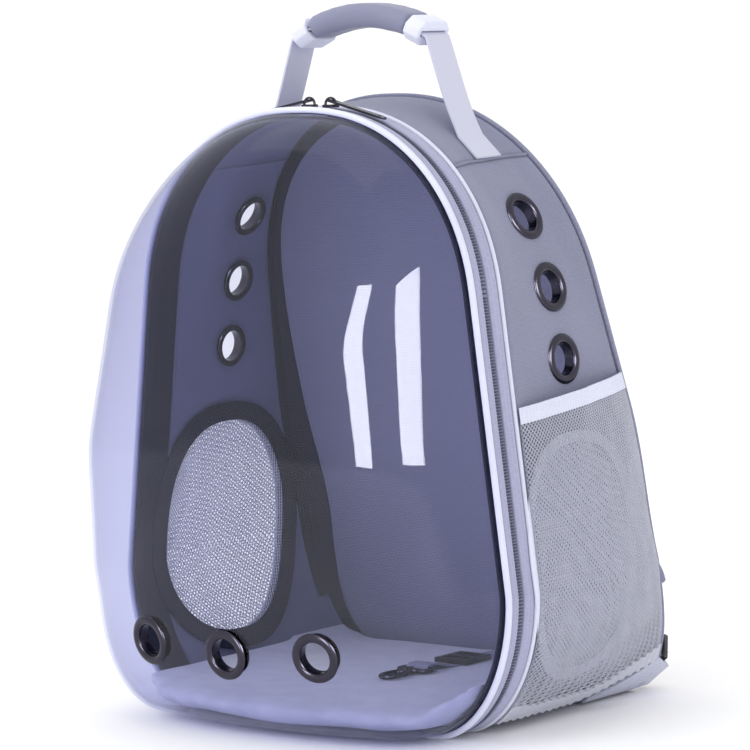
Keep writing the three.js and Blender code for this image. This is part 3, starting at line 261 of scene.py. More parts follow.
def shaped_grid(columns, rows, place, long=1.0, wide=1.0, caps=False):
    """A grid primitive whose vertices are laid by place(u, v). Its UV map is long by wide metres,
    edges that meet are merged, and caps closes the ends that stay open."""
    bpy.ops.object.select_all(action="DESELECT")
    bpy.ops.mesh.primitive_grid_add(x_subdivisions=columns, y_subdivisions=rows, size=1)
    piece = bpy.context.object
    mesh = piece.data
    for vertex in mesh.vertices:
        vertex.co = place(vertex.co.x + 0.5, vertex.co.y + 0.5)
    for corner in mesh.uv_layers.active.data:
        corner.uv = (corner.uv[0] * long, corner.uv[1] * wide)
    bpy.ops.object.mode_set(mode="EDIT")
    bpy.ops.mesh.select_all(action="SELECT")
    bpy.ops.mesh.remove_doubles(threshold=0.00001)
    if caps:
        bpy.ops.mesh.select_all(action="DESELECT")
        bpy.ops.mesh.select_non_manifold()
        bpy.ops.mesh.fill()
        bpy.ops.mesh.select_all(action="SELECT")
    bpy.ops.mesh.normals_make_consistent(inside=False)
    bpy.ops.object.mode_set(mode="OBJECT")
    if sum(face.area * face.normal.dot(face.center - MIDDLE) for face in mesh.polygons) < 0:
        mesh.flip_normals()
    return piece


def modified(piece, kind, **settings):
    """Adds a modifier and applies it."""
    modifier = piece.modifiers.new(kind.lower(), kind)
    for setting, value in settings.items():
        setattr(modifier, setting, value)
    bpy.ops.object.select_all(action="DESELECT")
    bpy.context.view_layer.objects.active = piece
    piece.select_set(True)
    bpy.ops.object.modifier_apply(modifier=modifier.name)
    return piece


WAVE_TURN = math.pi / 10  # a Wave texture's scale times its period


def woven(name, colour, warp=0.0011, weft=0.0011, relief=0.0002, fleck=0.10, roughness=0.88,
          sheen=0.2, coordinates="UV", worn=0.05):
    """Woven cloth: ribs of warp and weft in relief, a fleck of lighter and darker threads, and a
    slow unevenness of dye and handling."""
    material, shader = shader_of(name, colour, roughness, Sheen_Weight=sheen,
                                 Sheen_Roughness=0.4, Specular_IOR_Level=0.2)
    links = material.node_tree.links
    place = added(material, "ShaderNodeTexCoord").outputs[coordinates]
    ribs = []
    for direction, pitch in (("X", warp), ("Y", weft)):
        rib = added(material, "ShaderNodeTexWave", place, Scale=WAVE_TURN / pitch,
                    Distortion=0.6, Detail=1.0)
        rib.bands_direction = direction
        ribs.append(rib.outputs["Fac"])
    crossing = added(material, "ShaderNodeMath")
    crossing.operation = "MULTIPLY"
    links.new(ribs[0], crossing.inputs[0])
    links.new(ribs[1], crossing.inputs[1])
    threads = added(material, "ShaderNodeTexNoise", place, Scale=0.8 / warp, Detail=2)
    dye = added(material, "ShaderNodeTexNoise", place, Scale=14, Detail=3)
    shades = []
    for source, strength in ((threads, fleck), (crossing, fleck), (dye, worn)):
        ramp = added(material, "ShaderNodeMapRange")
        ramp.inputs["From Min"].default_value = 0.25 if source is not crossing else 0
        ramp.inputs["From Max"].default_value = 0.75 if source is not crossing else 1
        ramp.inputs["To Min"].default_value = 1 - strength
        ramp.inputs["To Max"].default_value = 1 + strength
        links.new(source.outputs["Value" if source is crossing else "Fac"], ramp.inputs["Value"])
        shades.append(ramp.outputs["Result"])
    shade = None
    for factor in shades:
        scaled = added(material, "ShaderNodeVectorMath")
        scaled.operation = "SCALE"
        if shade is None:
            scaled.inputs[0].default_value = colour
        else:
            links.new(shade, scaled.inputs[0])
        links.new(factor, scaled.inputs["Scale"])
        shade = scaled.outputs["Vector"]
    links.new(shade, shader.inputs["Base Color"])
    bump = added(material, "ShaderNodeBump", Strength=0.8, Distance=relief)
    links.new(crossing.outputs["Value"], bump.inputs["Height"])
    links.new(bump.outputs["Normal"], shader.inputs["Normal"])
    return material


ROUND = 180
ROUND_LONG = 1.232


def round_section(start, end, inner, outer, corner, steps=3):
    """A band's section as points (y, grow): a rectangle with round corners."""
    points = []
    for cy, cg, first in ((end - corner, outer - corner, 0), (start + corner, outer - corner, 90),
                          (start + corner, inner + corner, 180), (end - corner, inner + corner, 270)):
        for i in range(steps + 1):
            angle = math.radians(first + 90 * i / steps)
            points.append((cy + corner * math.cos(angle), cg + corner * math.sin(angle)))
    return points


def band(name, section, material, stands_for, ways=(0, 2), columns=ROUND):
    """A closed band round the outline with that section."""
    count = len(section)

    def place(u, v):
        y, grow = section[round(v * count) % count]
        return rim_place(ways[0] + u * (ways[1] - ways[0]), y, grow)

    return finished(shaped_grid(columns, count, place, ROUND_LONG, 0.03), name, material,
                    stands_for=stands_for)


PIPING = woven("piping_tape", srgb(226, 228, 246), warp=0.0008, weft=0.0009, relief=0.0001, fleck=0.04)
GUSSET = woven("gusset_cloth", srgb(170, 171, 200), warp=0.0009, weft=0.0009, relief=0.00015, fleck=0.08)
TAPE = woven("zip_tape", srgb(150, 151, 180), warp=0.0007, weft=0.0013, relief=0.0002, fleck=0.08)
DARK = woven("dark_binding", srgb(30, 33, 54), warp=0.001, weft=0.001, relief=0.00006, fleck=0.04,
             sheen=0.03)

band("rim_piping_sewn", [(RIM_Y + 0.00225 + 0.00225 * math.cos(a), -0.0009 + 0.0021 * math.sin(a))
                         for a in (i * math.pi / 6 for i in range(12))],
     PIPING, ["rim_piping"])
band("front_gusset_sewn", round_section(-0.0977, -0.0907, -WALL, 0, 0.0009), GUSSET,
     ["front_gusset"])
band("zip_tape_front_sewn", round_section(-0.0904, -0.0878, -0.0025, -0.0013, 0.0003), TAPE,
     ["zip_tape_front"])
band("zip_tape_back_sewn", round_section(-0.0875, -0.0849, -0.0025, -0.0013, 0.0003), TAPE,
     ["zip_tape_back"])
band("back_gusset_sewn", round_section(-0.0846, -0.0742, -WALL, 0, 0.0009), GUSSET,
     ["back_gusset"])
band("seam_piping_sewn", [(-0.0724 + 0.0015 * math.cos(a), 0.0015 * math.sin(a))
                          for a in (i * math.pi / 5 for i in range(10))],
     PIPING, ["seam_piping"])
band("rim_binding_sewn", round_section(-0.1022, -0.0922, -0.0071, -0.0056, 0.0004), DARK,
     ["rim_binding_inside"])
band("gusset_lining_sewn", round_section(-0.0919, -0.0714, -0.0042, -0.0034, 0.0003), DARK, [])


# Zip coil: nylon spirals along the meeting edges of the two tapes, each turn a small arch across
# the line where the tapes meet.
def repeated(unit, places):
    """One mesh that holds a copy of the unit's mesh at each place (a 4x4 matrix)."""
    points = np.array([v.co for v in unit.data.vertices])
    faces = [list(p.vertices) for p in unit.data.polygons]
    all_points, all_faces = [], []
    for i, matrix in enumerate(places):
        m = np.array(matrix)
        all_points.append(points @ m[:3, :3].T + m[:3, 3])
        all_faces += [[v + i * len(points) for v in face] for face in faces]
    mesh = bpy.data.meshes.new(unit.name)
    mesh.from_pydata(np.concatenate(all_points).tolist(), [], all_faces)
    piece = bpy.data.objects.new(unit.name, mesh)
    scene.collection.objects.link(piece)
    bpy.data.objects.remove(unit)
    return piece


def frame_at(point, along, up):
    """A matrix whose X runs along a path and whose Z points up from the surface."""
    along = along.normalized()
    across = up.cross(along).normalized()
    return Matrix.Translation(point) @ Matrix((along, across, along.cross(across))).transposed().to_4x4()


COIL_TURNS, COIL_Y = 620, -0.08765
COIL_TURN = (0.0011, 0.0036, 0.0010)
COIL_GROW = -0.0009
bpy.ops.object.select_all(action="DESELECT")
bpy.ops.mesh.primitive_cube_add(size=1)
coil = bpy.context.object
coil.scale = COIL_TURN
bpy.ops.object.transform_apply(location=False, rotation=False, scale=True)
modified(coil, "BEVEL", width=0.00025, segments=1)
coil_places = []
for i in range(COIL_TURNS):
    way = 2 * i / COIL_TURNS
    here, ahead = rim_place(way, COIL_Y, COIL_GROW), rim_place(way + 0.003, COIL_Y, COIL_GROW)
    x, z, nx, nz = outline_stop(way)
    coil_places.append(frame_at(here, ahead - here, Vector((nx, 0, nz))))
COIL, _ = shader_of("zip_coil_nylon", srgb(58, 60, 88), 0.45)
finished(repeated(coil, coil_places), "zip_coil_turns", COIL, stands_for=["zip_coil"])


# Clear front: one vacuum-formed sheet of tinted plastic, deep and nearly flat in the middle, with a
# collar behind the rim piping where it is sewn in.
BUBBLE_DEPTH, BUBBLE_Z, SHEET, INSET = 0.094, 0.185, 0.002, 0.0033
COLLAR = 0.009
DOME_ROWS, RIM_CROWDING = 0.94, 1.35  # the other rows make the collar; rows stand closer by the rim
# Fullness by the direction out of the bubble's centre, from straight down (-1) to straight up (1)
CLIMBS = np.linspace(-1, 1, 201)
FULLNESS = np.interp(CLIMBS, [-1, -0.88, -0.6, 0, 0.7, 1], [5, 3.3, 2.4, 3.4, 2.4, 1.6])
SOFTENER = np.hanning(31) / np.hanning(31).sum()
FULLNESS = np.convolve(np.pad(FULLNESS, 15, mode="edge"), SOFTENER, mode="valid")


def bubble_place(way, lift, inset=0.0):
    """The clear front's outer face: lift runs from the rim at 0 to the middle at 1."""
    angle = lift * math.pi / 2
    rim = rim_place(way, RIM_Y, -INSET - inset)
    power = np.interp((rim.z - BUBBLE_Z) / math.hypot(rim.x, rim.z - BUBBLE_Z), CLIMBS, FULLNESS)
    share = max(0, math.cos(angle)) ** (2 / power)
    deep = (BUBBLE_DEPTH - inset) * math.sin(angle) ** (2 / power)
    return Vector((rim.x * share, RIM_Y - deep, BUBBLE_Z + (rim.z - BUBBLE_Z) * share))


def bubble_skin(u, v):
    if v > DOME_ROWS:
        return rim_place(2 * u, RIM_Y + COLLAR * (v - DOME_ROWS) / (1 - DOME_ROWS), -INSET)
    return bubble_place(2 * u, (1 - v / DOME_ROWS) ** RIM_CROWDING)


def eyelet_seat(node):
    """Middle, outward axis, and extent along it, of a CAD eyelet."""
    points = np.array([v.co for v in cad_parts[node].data.vertices])
    middle = (points.min(0) + points.max(0)) / 2
    values, ways = np.linalg.eigh(np.cov((points - middle).T))
    axis = Vector(ways[:, 0])
    if axis.dot(Vector(middle) - Vector((0, 0, 0.16))) < 0:
        axis = -axis
    along = (points - middle) @ np.array(axis)
    return Vector(middle), axis, along.min(), along.max()


def cutter(middle, axis, radius, depth=0.06):
    bpy.ops.mesh.primitive_cylinder_add(vertices=48, radius=radius, depth=depth, location=middle)
    tool = bpy.context.object
    tool.rotation_mode = "QUATERNION"
    tool.rotation_quaternion = axis.to_track_quat("Z", "Y")
    bpy.ops.object.transform_apply(location=True, rotation=True, scale=True)
    return tool


def cut_out(piece, tools):
    """Cuts the tools out of the piece and deletes them."""
    for tool in tools:
        modified(piece, "BOOLEAN", object=tool, operation="DIFFERENCE", solver="EXACT")
        bpy.data.objects.remove(tool)
    return piece


EYELET_HOLE = 0.0117
BUBBLE_EYELETS = [f"bubble_eyelet_{word}" for word in ("left", "middle", "right")]

CLEAR = bpy.data.materials.new("clear_sheet")
CLEAR.use_nodes = True
clear_nodes, clear_links = CLEAR.node_tree.nodes, CLEAR.node_tree.links
clear_nodes.remove(clear_nodes["Principled BSDF"])
through = added(CLEAR, "ShaderNodeBsdfTransparent")
mirrored = added(CLEAR, "ShaderNodeBsdfGlossy", Roughness=0.03)
mirrored.inputs["Color"].default_value = (0.93, 0.94, 1, 1)
edge = added(CLEAR, "ShaderNodeLayerWeight", Blend=0.5)
depth_tint = added(CLEAR, "ShaderNodeMix")
depth_tint.data_type = "RGBA"
depth_tint.inputs["A"].default_value = (*srgb(240, 241, 249), 1)
depth_tint.inputs["B"].default_value = (*srgb(228, 229, 243), 1)
clear_links.new(edge.outputs["Facing"], depth_tint.inputs["Factor"])
clear_links.new(depth_tint.outputs["Result"], through.inputs["Color"])
steep = added(CLEAR, "ShaderNodeMath")
steep.operation = "POWER"
steep.inputs[1].default_value = 5
gloss_share = added(CLEAR, "ShaderNodeMapRange")
gloss_share.inputs["To Min"].default_value = 0.022
gloss_share.inputs["To Max"].default_value = 0.8
clear_links.new(edge.outputs["Facing"], steep.inputs[0])
clear_links.new(steep.outputs["Value"], gloss_share.inputs["Value"])
clear_mix = added(CLEAR, "ShaderNodeMixShader")
clear_links.new(gloss_share.outputs["Result"], clear_mix.inputs["Fac"])
clear_links.new(through.outputs["BSDF"], clear_mix.inputs[1])
clear_links.new(mirrored.outputs["BSDF"], clear_mix.inputs[2])
clear_links.new(clear_mix.outputs["Shader"], clear_nodes["Material Output"].inputs["Surface"])

bubble = shaped_grid(ROUND, 48, bubble_skin, ROUND_LONG, 0.25)
modified(bubble, "SOLIDIFY", thickness=SHEET, offset=-1)
seats = {node: eyelet_seat(node) for node in BUBBLE_EYELETS}
cut_out(bubble, [cutter(middle, axis, EYELET_HOLE) for middle, axis, _, _ in seats.values()])
finished(bubble, "bubble_sheet", CLEAR, stands_for=["bubble"])


# Eyelets: stamped gunmetal rings, a rolled flange outside, a barrel through the wall and a flat
# washer inside.
METAL, metal_shader = shader_of("gunmetal", srgb(62, 60, 70), 0.22, Metallic=1.0)
metal_place = added(METAL, "ShaderNodeTexCoord").outputs["Object"]
metal_wear = added(METAL, "ShaderNodeTexNoise", metal_place, Scale=260, Detail=3)
metal_range = added(METAL, "ShaderNodeMapRange")
metal_range.inputs["To Min"].default_value = 0.16
metal_range.inputs["To Max"].default_value = 0.34
METAL.node_tree.links.new(metal_wear.outputs["Fac"], metal_range.inputs["Value"])
METAL.node_tree.links.new(metal_range.outputs["Result"], metal_shader.inputs["Roughness"])


def turned_profile(profile, steps=56):
    """A solid turned round Z from a closed profile of (radius, height)."""
    count = len(profile)

    def place(u, v):
        radius, height = profile[round(v * count) % count]
        angle = 2 * math.pi * u
        return Vector((radius * math.cos(angle), radius * math.sin(angle), height))

    return shaped_grid(steps, count, place, 0.1, 0.01)


BORE, FLANGE_OUTER, WASHER_OUTER = 0.0105, 0.0165, 0.0145
FLANGE, BARREL = 0.0018, 0.0012
ROLL_MIDDLE, ROLL_HALF = 0.0135, 0.003


def eyelet(node):
    middle, axis, low, high = eyelet_seat(node)
    top = high - FLANGE
    roll = [(ROLL_MIDDLE + ROLL_HALF * math.cos(a), top + FLANGE * math.sin(a))
            for a in (math.pi * i / 8 for i in range(9))]
    profile = roll + [(BORE, low + 0.0012), (BORE + 0.0004, low), (WASHER_OUTER - 0.0005, low),
                      (WASHER_OUTER, low + 0.0005), (WASHER_OUTER, low + 0.0011),
                      (BORE + BARREL, low + 0.0012), (BORE + BARREL, top),
                      (FLANGE_OUTER - 0.0002, top)]
    piece = turned_profile(profile)
    turn = axis.to_track_quat("Z", "Y").to_matrix().to_4x4()
    piece.data.transform(Matrix.Translation(middle) @ turn)
    return finished(piece, node + "_ring", METAL, stands_for=[node])


SIDES = (("right", 1), ("left", -1))
SIDE_EYELETS = {word: [f"side_eyelet_{row}_{word}" for row in ("top", "middle", "low")]
                for word, _ in SIDES}
for node in BUBBLE_EYELETS + SIDE_EYELETS["right"] + SIDE_EYELETS["left"]:
    eyelet(node)


# Walls: oxford cloth over thin foam, cut as two side panels, a crown panel and a base, turned in at
# the seams. The side panels have a large window and three eyelets.
CLOTH = woven("oxford_cloth", srgb(141, 143, 168), warp=0.0012, weft=0.0012, relief=0.00022,
              fleck=0.09)
WINDOW_DEEP, WINDOW_TALL, WINDOW_Y, WINDOW_Z, WINDOW_POWER = 0.058, 0.075, RIM_Y + 0.091, 0.112, 2.4


LINING = woven("grey_lining", srgb(118, 121, 152), warp=0.0012, weft=0.0012, relief=0.00015, fleck=0.07)


def lined(piece, lining, middle=MIDDLE, depth=0.0):
    """Gives the faces that look towards the middle of the pack the lining; depth weighs Y."""
    piece.data.materials.append(lining)
    for face in piece.data.polygons:
        away = face.center - middle
        away.y *= depth
        if face.normal.dot(away) < 0:
            face.material_index = 1
    return piece


def window_rim(angle, margin=0.0):
    """Depth and height of the window's edge at an angle, with a margin outside it."""
    rounded = lambda value: math.copysign(abs(value) ** (2 / WINDOW_POWER), value)
    return (WINDOW_Y + (WINDOW_DEEP + margin) * rounded(math.cos(angle)),
            WINDOW_Z + (WINDOW_TALL + margin) * rounded(math.sin(angle)))


def window_cutter(side):
    tool = turned_profile([(0, -0.05), (1, -0.05), (1, 0.05), (0, 0.05)], 72)
    for vertex in tool.data.vertices:
        radius = math.hypot(vertex.co.x, vertex.co.y)
        angle = math.atan2(vertex.co.y, vertex.co.x)
        y, z = window_rim(angle) if radius > 0.5 else (WINDOW_Y, WINDOW_Z)
        vertex.co = (side * (0.145 + vertex.co.z), y, z)
    bpy.ops.object.mode_set(mode="EDIT")
    bpy.ops.mesh.select_all(action="SELECT")
    bpy.ops.mesh.normals_make_consistent(inside=False)
    bpy.ops.object.mode_set(mode="OBJECT")
    return tool


TURNED, LONGER, SEAM_GAP = 0.022, 2.2, 0.003  # turned-in share of the depth, and the gap at both seams


def wall_panel(first, last, columns, rows, long, edge=0.0014):
    """A cloth panel between two places of the outline, its four edges turned in at the seams."""
    def place(u, v):
        tuck = max(0, 1 - min(v, 1 - v, u * LONGER, (1 - u) * LONGER) / TURNED)
        return wall_place(first + (last - first) * u, SEAM_GAP + (1 - 2 * SEAM_GAP) * v,
                          -edge * tuck ** 2)

    piece = shaped_grid(columns, rows, place, long, 0.16)
    return modified(piece, "SOLIDIFY", thickness=WALL - 0.0004, offset=-1)


for word, side in SIDES:
    ways = (BASE_END, SEAM) if side > 0 else (2 - SEAM, 2 - BASE_END)
    panel = wall_panel(*ways, 96, 44, 0.42)
    tools = [window_cutter(side)]
    for node in SIDE_EYELETS[word]:
        middle, axis, _, _ = eyelet_seat(node)
        tools.append(cutter(middle, axis, EYELET_HOLE, 0.02))
    cut_out(panel, tools)
    finished(panel, f"side_panel_{word}_cloth", CLOTH, stands_for=[f"side_panel_{word}"])
    lined(panel, LINING)
crown_panel = finished(wall_panel(SEAM, 2 - SEAM, 72, 36, 0.31), "top_panel_cloth", CLOTH,
                       stands_for=["top_panel"])
base_panel = finished(wall_panel(-BASE_END, BASE_END, 24, 24, 0.196, 0.0), "bottom_panel_cloth", CLOTH,
                      stands_for=["bottom_panel"])
lined(crown_panel, LINING)
lined(base_panel, LINING)


def seam_cord(name, points, radius, material, closed=False):
    """A thin round cord or turned seam along points."""
    count = len(points)
    sides = 8

    def place(u, v):
        i = round(u * count) % count if closed else round(u * (count - 1))
        here = points[i]
        ahead = points[(i + 1) % count] if closed else points[min(i + 1, count - 1)]
        before = points[i - 1] if closed else points[max(i - 1, 0)]
        along = (ahead - before).normalized()
        across = along.cross(Vector((0.3, 0.2, 1))).normalized()
        angle = 2 * math.pi * v
        return here + radius * (math.cos(angle) * across + math.sin(angle) * along.cross(across))

    columns = count if closed else count - 1
    return finished(shaped_grid(columns, sides, place, 0.4, 0.01, caps=not closed), name, material)


for word, side in SIDES:
    way = SEAM if side > 0 else 2 - SEAM
    ridge = [wall_place(way, 0.01 + 0.98 * i / 24, -0.0004) for i in range(25)]
    seam_cord(f"crown_seam_{word}", ridge, 0.0012, CLOTH)


# Back panel: the padded board that lies against the wearer, edged by the last seam, with a dark tape
# over the raw edges inside; the tape on the board widens beside the windows into painted shade.
BACK_THICK = 0.006
SLANT = math.hypot(1, LEAN)
BACK_NORMAL = Vector((0, 1, LEAN)) / SLANT


def back_place(u, v):
    """Round the board (u) and from its inner middle over the edge to its outer middle (v)."""
    x, z, _, _ = outline_stop(2 * u)
    x, z = x * narrowing(z, 1), z * (1 + RISE)
    share = min(1, 2 * min(v, 1 - v))
    edge = share ** 0.5
    swell = (1 - edge ** 10) ** 0.5 if v > 0.5 else 0
    thick = BACK_THICK * (0.35 + 0.65 * swell) if v > 0.5 else 0
    low = Vector((x * edge, 0, 0.19 + (z - 0.19) * edge))
    return Vector((low.x, back_y(low.z), low.z)) + BACK_NORMAL * thick


board_middle = Vector((0, back_y(0.19) + 0.001, 0.19))
board = shaped_grid(ROUND, 40, back_place, ROUND_LONG, 0.5)
for loop in board.data.loops:
    spot = board.data.vertices[loop.vertex_index].co
    board.data.uv_layers.active.data[loop.index].uv = (spot.x, spot.z * SLANT)
finished(board, "back_panel_cloth", CLOTH, stands_for=["back_panel"])
lined(board, LINING, board_middle, 1.0)
back_edge = [wall_place(2 * i / ROUND, 1, 0.0002) + BACK_NORMAL * 0.0012 for i in range(ROUND)]
for point in back_edge:
    point.z = max(0.0016, point.z)
seam_cord("back_seam_piping", back_edge, 0.0016, CLOTH, closed=True)

TAPE_FIRST = BASE_END + (CORNER_END - BASE_END) * 4 / 6


def inside_tape(u, v):
    corners = [(0.931, -0.0048), (0.931, -0.0033), (0.996, -0.0033), (0.996, -0.0048)]
    share, grow = corners[round(v * 4) % 4]
    return wall_place(TAPE_FIRST + u * (2 - 2 * TAPE_FIRST), share, grow)


BOARD_TAPE_FIRST = 0.4 * TAPE_FIRST
# The board tape is binding only where it is narrow; its widening beside the windows paints the shade
# that falls in the back corners.
TAPE_INSET, TAPE_WIDE, SHADE_WIDENING, SHADE_WIDEST_Z, SHADE_REACH = 0.0035, 0.008, 0.013, 0.13, 0.15


def board_tape_and_shade(u, v):
    """The dark tape on the board's inner face; beside the windows it widens into painted shade for the
    back corners.
    """
    x, z, nx, nz = outline_stop(BOARD_TAPE_FIRST + u * (2 - 2 * BOARD_TAPE_FIRST))
    inwards = TAPE_INSET + v * (TAPE_WIDE + SHADE_WIDENING * eased(1 - abs(z - SHADE_WIDEST_Z) / SHADE_REACH))
    low = z * (1 + RISE) - nz * inwards
    return Vector((x * narrowing(z, 1) - nx * inwards, back_y(low) - 0.0007, low))


finished(shaped_grid(120, 4, inside_tape, 0.9, 0.024, caps=True), "back_binding_tape", DARK,
         stands_for=["back_binding_inside"])
# Dark binding tape on the board's inner face, widened into painted shade in the back corners.
finished(modified(shaped_grid(140, 6, board_tape_and_shade, 0.9, 0.024), "SOLIDIFY", thickness=0.0008, offset=0),
         "back_binding_and_painted_shade", DARK)


# Windows: fine white net sewn behind the opening under a dark tape, and a folded light edge that
# shows as an arch through the pocket from outside.
NET = woven("window_net_thread", srgb(228, 229, 238), warp=0.0006, weft=0.0006, relief=0.00005,
            fleck=0.03)


def window_sheet(side, grow, inner, outer, columns=72, rows=2, thick=0.0012):
    """A ring of tape round the window between two margins, at a distance beside the wall."""
    def place(u, v):
        y, z = window_rim(2 * math.pi * u, inner + (outer - inner) * v)
        return beside_wall(side, y, z, grow)

    piece = shaped_grid(columns, rows, place, 0.44, outer - inner)
    return modified(piece, "SOLIDIFY", thickness=thick, offset=0)


NET_PITCH = 0.0022
NET_GROW = -0.0038
for word, side in SIDES:
    ring = window_sheet(side, -0.0053, 0.0, 0.013)
    finished(ring, f"window_binding_{word}_tape", DARK, stands_for=[f"window_binding_{word}"])
    fold = window_sheet(side, 0.0007, -0.001, 0.006, thick=0.0010)
    finished(fold, f"window_edge_{word}_tape", PIPING)
    deep, tall = WINDOW_DEEP + 0.006, WINDOW_TALL + 0.006
    net = shaped_grid(round(2 * deep / NET_PITCH), round(2 * tall / NET_PITCH),
                      lambda u, v: beside_wall(side, WINDOW_Y + (2 * u - 1) * deep,
                                               WINDOW_Z + (2 * v - 1) * tall, NET_GROW))
    bpy.ops.object.mode_set(mode="EDIT")
    net_mesh = bmesh.from_edit_mesh(net.data)
    outside = [f for f in net_mesh.faces
               if abs((f.calc_center_median().y - WINDOW_Y) / deep) ** WINDOW_POWER
               + abs((f.calc_center_median().z - WINDOW_Z) / tall) ** WINDOW_POWER > 1]
    bmesh.ops.delete(net_mesh, geom=outside, context="FACES")
    bmesh.update_edit_mesh(net.data)
    bpy.ops.object.mode_set(mode="OBJECT")
    modified(net, "WIREFRAME", thickness=0.0007, use_even_offset=False)
    finished(net, f"window_net_{word}_mesh", NET, stands_for=[f"window_net_{word}"])


# Side pockets: open diamond mesh, gathered at the foot and held at the mouth by an elastic band.
MESH = woven("pocket_mesh_yarn", srgb(202, 203, 217), warp=0.0007, weft=0.0007, relief=0.00008,
             fleck=0.08)
HEM = woven("elastic_hem", srgb(226, 228, 246), warp=0.0009, weft=0.0014, relief=0.00025, fleck=0.05)
POCKET_FRONT_Z, POCKET_BACK_Z, POCKET_FOOT_Z, POCKET_FOOT_RISE = 0.213, 0.226, 0.011, 0.018
POCKET_BULGE, POCKET_FULLEST, POCKET_MOUTH, SEWN = 0.014, 0.4, 0.009, 0.0007
HEM_TALL = 0.0105
PLEATS, PLEAT_DEEP, PLEAT_RISE, SAG = 21, 0.0012, 0.22, 0.0012
MESH_PITCH = 0.0037


def pocket_top(share):
    return POCKET_FRONT_Z + (POCKET_BACK_Z - POCKET_FRONT_Z) * share


def pocket_foot(share):
    return POCKET_FOOT_Z + POCKET_FOOT_RISE * max(0, share - 0.5) / 0.5


def pocket_stand(share, climb):
    across = math.sin(math.pi * min(1, max(0, share))) ** 0.7
    if climb < POCKET_FULLEST:
        full = POCKET_BULGE * math.sin(max(0, climb) / POCKET_FULLEST * math.pi / 2)
    else:
        fall = math.cos((climb - POCKET_FULLEST) / (1 - POCKET_FULLEST) * math.pi / 2) ** 2
        full = POCKET_MOUTH + (POCKET_BULGE - POCKET_MOUTH) * fall
    return SEWN + across * full


def pocket_place(side, share, z, extra):
    foot = pocket_foot(share)
    front = PANEL_Y + 0.001
    y = front + (back_y(z) - 0.001 - front) * share
    climb = (z - foot) / (pocket_top(share) - foot)
    pleat = PLEAT_DEEP * math.sin(share * 2 * math.pi * PLEATS) * max(0, 1 - climb / PLEAT_RISE)
    sag = SAG * noise.noise(Vector((share * 7 + side, climb * 5, 0.4)))
    proud = pocket_stand(share, climb) + extra
    return beside_wall(side, y, z, proud + (pleat + sag) * min(1, proud / 0.004))


def diamonds(columns, rows, place, strand):
    """A net of diamond holes: a grid whose faces are poked and whose old edges are dissolved."""
    piece = shaped_grid(columns, rows, lambda u, v: Vector((u, v, 0)))
    bpy.ops.object.mode_set(mode="EDIT")
    net = bmesh.from_edit_mesh(piece.data)
    old = list(net.edges)
    bmesh.ops.poke(net, faces=list(net.faces))
    bmesh.ops.dissolve_edges(net, edges=[e for e in old if e.is_valid and not e.is_boundary])
    bmesh.update_edit_mesh(piece.data)
    bpy.ops.object.mode_set(mode="OBJECT")
    for vertex in piece.data.vertices:
        vertex.co = place(vertex.co.x, vertex.co.y)
    return modified(piece, "WIREFRAME", thickness=strand, use_even_offset=False)


for word, side in SIDES:
    def mesh_place(u, v):
        foot = pocket_foot(u)
        return pocket_place(side, u, foot + (pocket_top(u) - HEM_TALL + 0.001 - foot) * v, 0.0006)

    def foot_place(u, v):
        foot = pocket_foot(u)
        return pocket_place(side, u, foot - 0.002 + 0.011 * v, 0.0016)

    def hem_place(u, v):
        ripple = 0.0003 * math.sin(u * 2 * math.pi * 46)
        return pocket_place(side, u, pocket_top(u) - HEM_TALL * (1 - v), 0.001 + ripple)

    netting = diamonds(round(0.165 / MESH_PITCH), round(0.215 / MESH_PITCH), mesh_place, 0.0011)
    finished(netting, f"pocket_mesh_{word}_net", MESH, stands_for=[f"pocket_mesh_{word}"])
    hem = modified(shaped_grid(140, 6, hem_place, 0.165, HEM_TALL), "SOLIDIFY", thickness=0.0018,
                   offset=0)
    finished(hem, f"pocket_hem_{word}_elastic", HEM, stands_for=[f"pocket_hem_{word}"])
    gather = modified(shaped_grid(168, 6, foot_place, 0.165, 0.013), "SOLIDIFY", thickness=0.0009,
                      offset=0)
    finished(gather, f"pocket_foot_{word}_gather", MESH)


# Floor pad: a soft fleece mat that lies in the shell and reaches into the clear front, its edge
# curling up a little more on the right.
FLEECE, fleece_shader = shader_of("fleece", srgb(214, 215, 232), 1.0, Sheen_Weight=0.6,
                                  Sheen_Roughness=0.5, Specular_IOR_Level=0.1)
fleece_place = added(FLEECE, "ShaderNodeTexCoord").outputs["Object"]
pile = added(FLEECE, "ShaderNodeTexNoise", fleece_place, Scale=420, Detail=4, Roughness=0.7)
clumps = added(FLEECE, "ShaderNodeTexNoise", fleece_place, Scale=70, Detail=3)
pile_range = added(FLEECE, "ShaderNodeValToRGB")
pile_range.color_ramp.elements[0].color = (*srgb(190, 192, 214), 1)
pile_range.color_ramp.elements[1].color = (*srgb(230, 231, 244), 1)
FLEECE.node_tree.links.new(clumps.outputs["Fac"], pile_range.inputs["Fac"])
FLEECE.node_tree.links.new(pile_range.outputs["Color"], fleece_shader.inputs["Base Color"])
pile_bump = added(FLEECE, "ShaderNodeBump", Strength=0.9, Distance=0.0008)
FLEECE.node_tree.links.new(pile.outputs["Fac"], pile_bump.inputs["Height"])
FLEECE.node_tree.links.new(pile_bump.outputs["Normal"], fleece_shader.inputs["Normal"])


def copy_of(node):
    """A copy of a CAD node with its loose triangles merged."""
    piece = bpy.data.objects.new(node + "_copy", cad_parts[node].data.copy())
    scene.collection.objects.link(piece)
    bpy.ops.object.select_all(action="DESELECT")
    bpy.context.view_layer.objects.active = piece
    piece.select_set(True)
    bpy.ops.object.mode_set(mode="EDIT")
    bpy.ops.mesh.select_all(action="SELECT")
    bpy.ops.mesh.remove_doubles(threshold=0.00001)
    bpy.ops.object.mode_set(mode="OBJECT")
    return piece


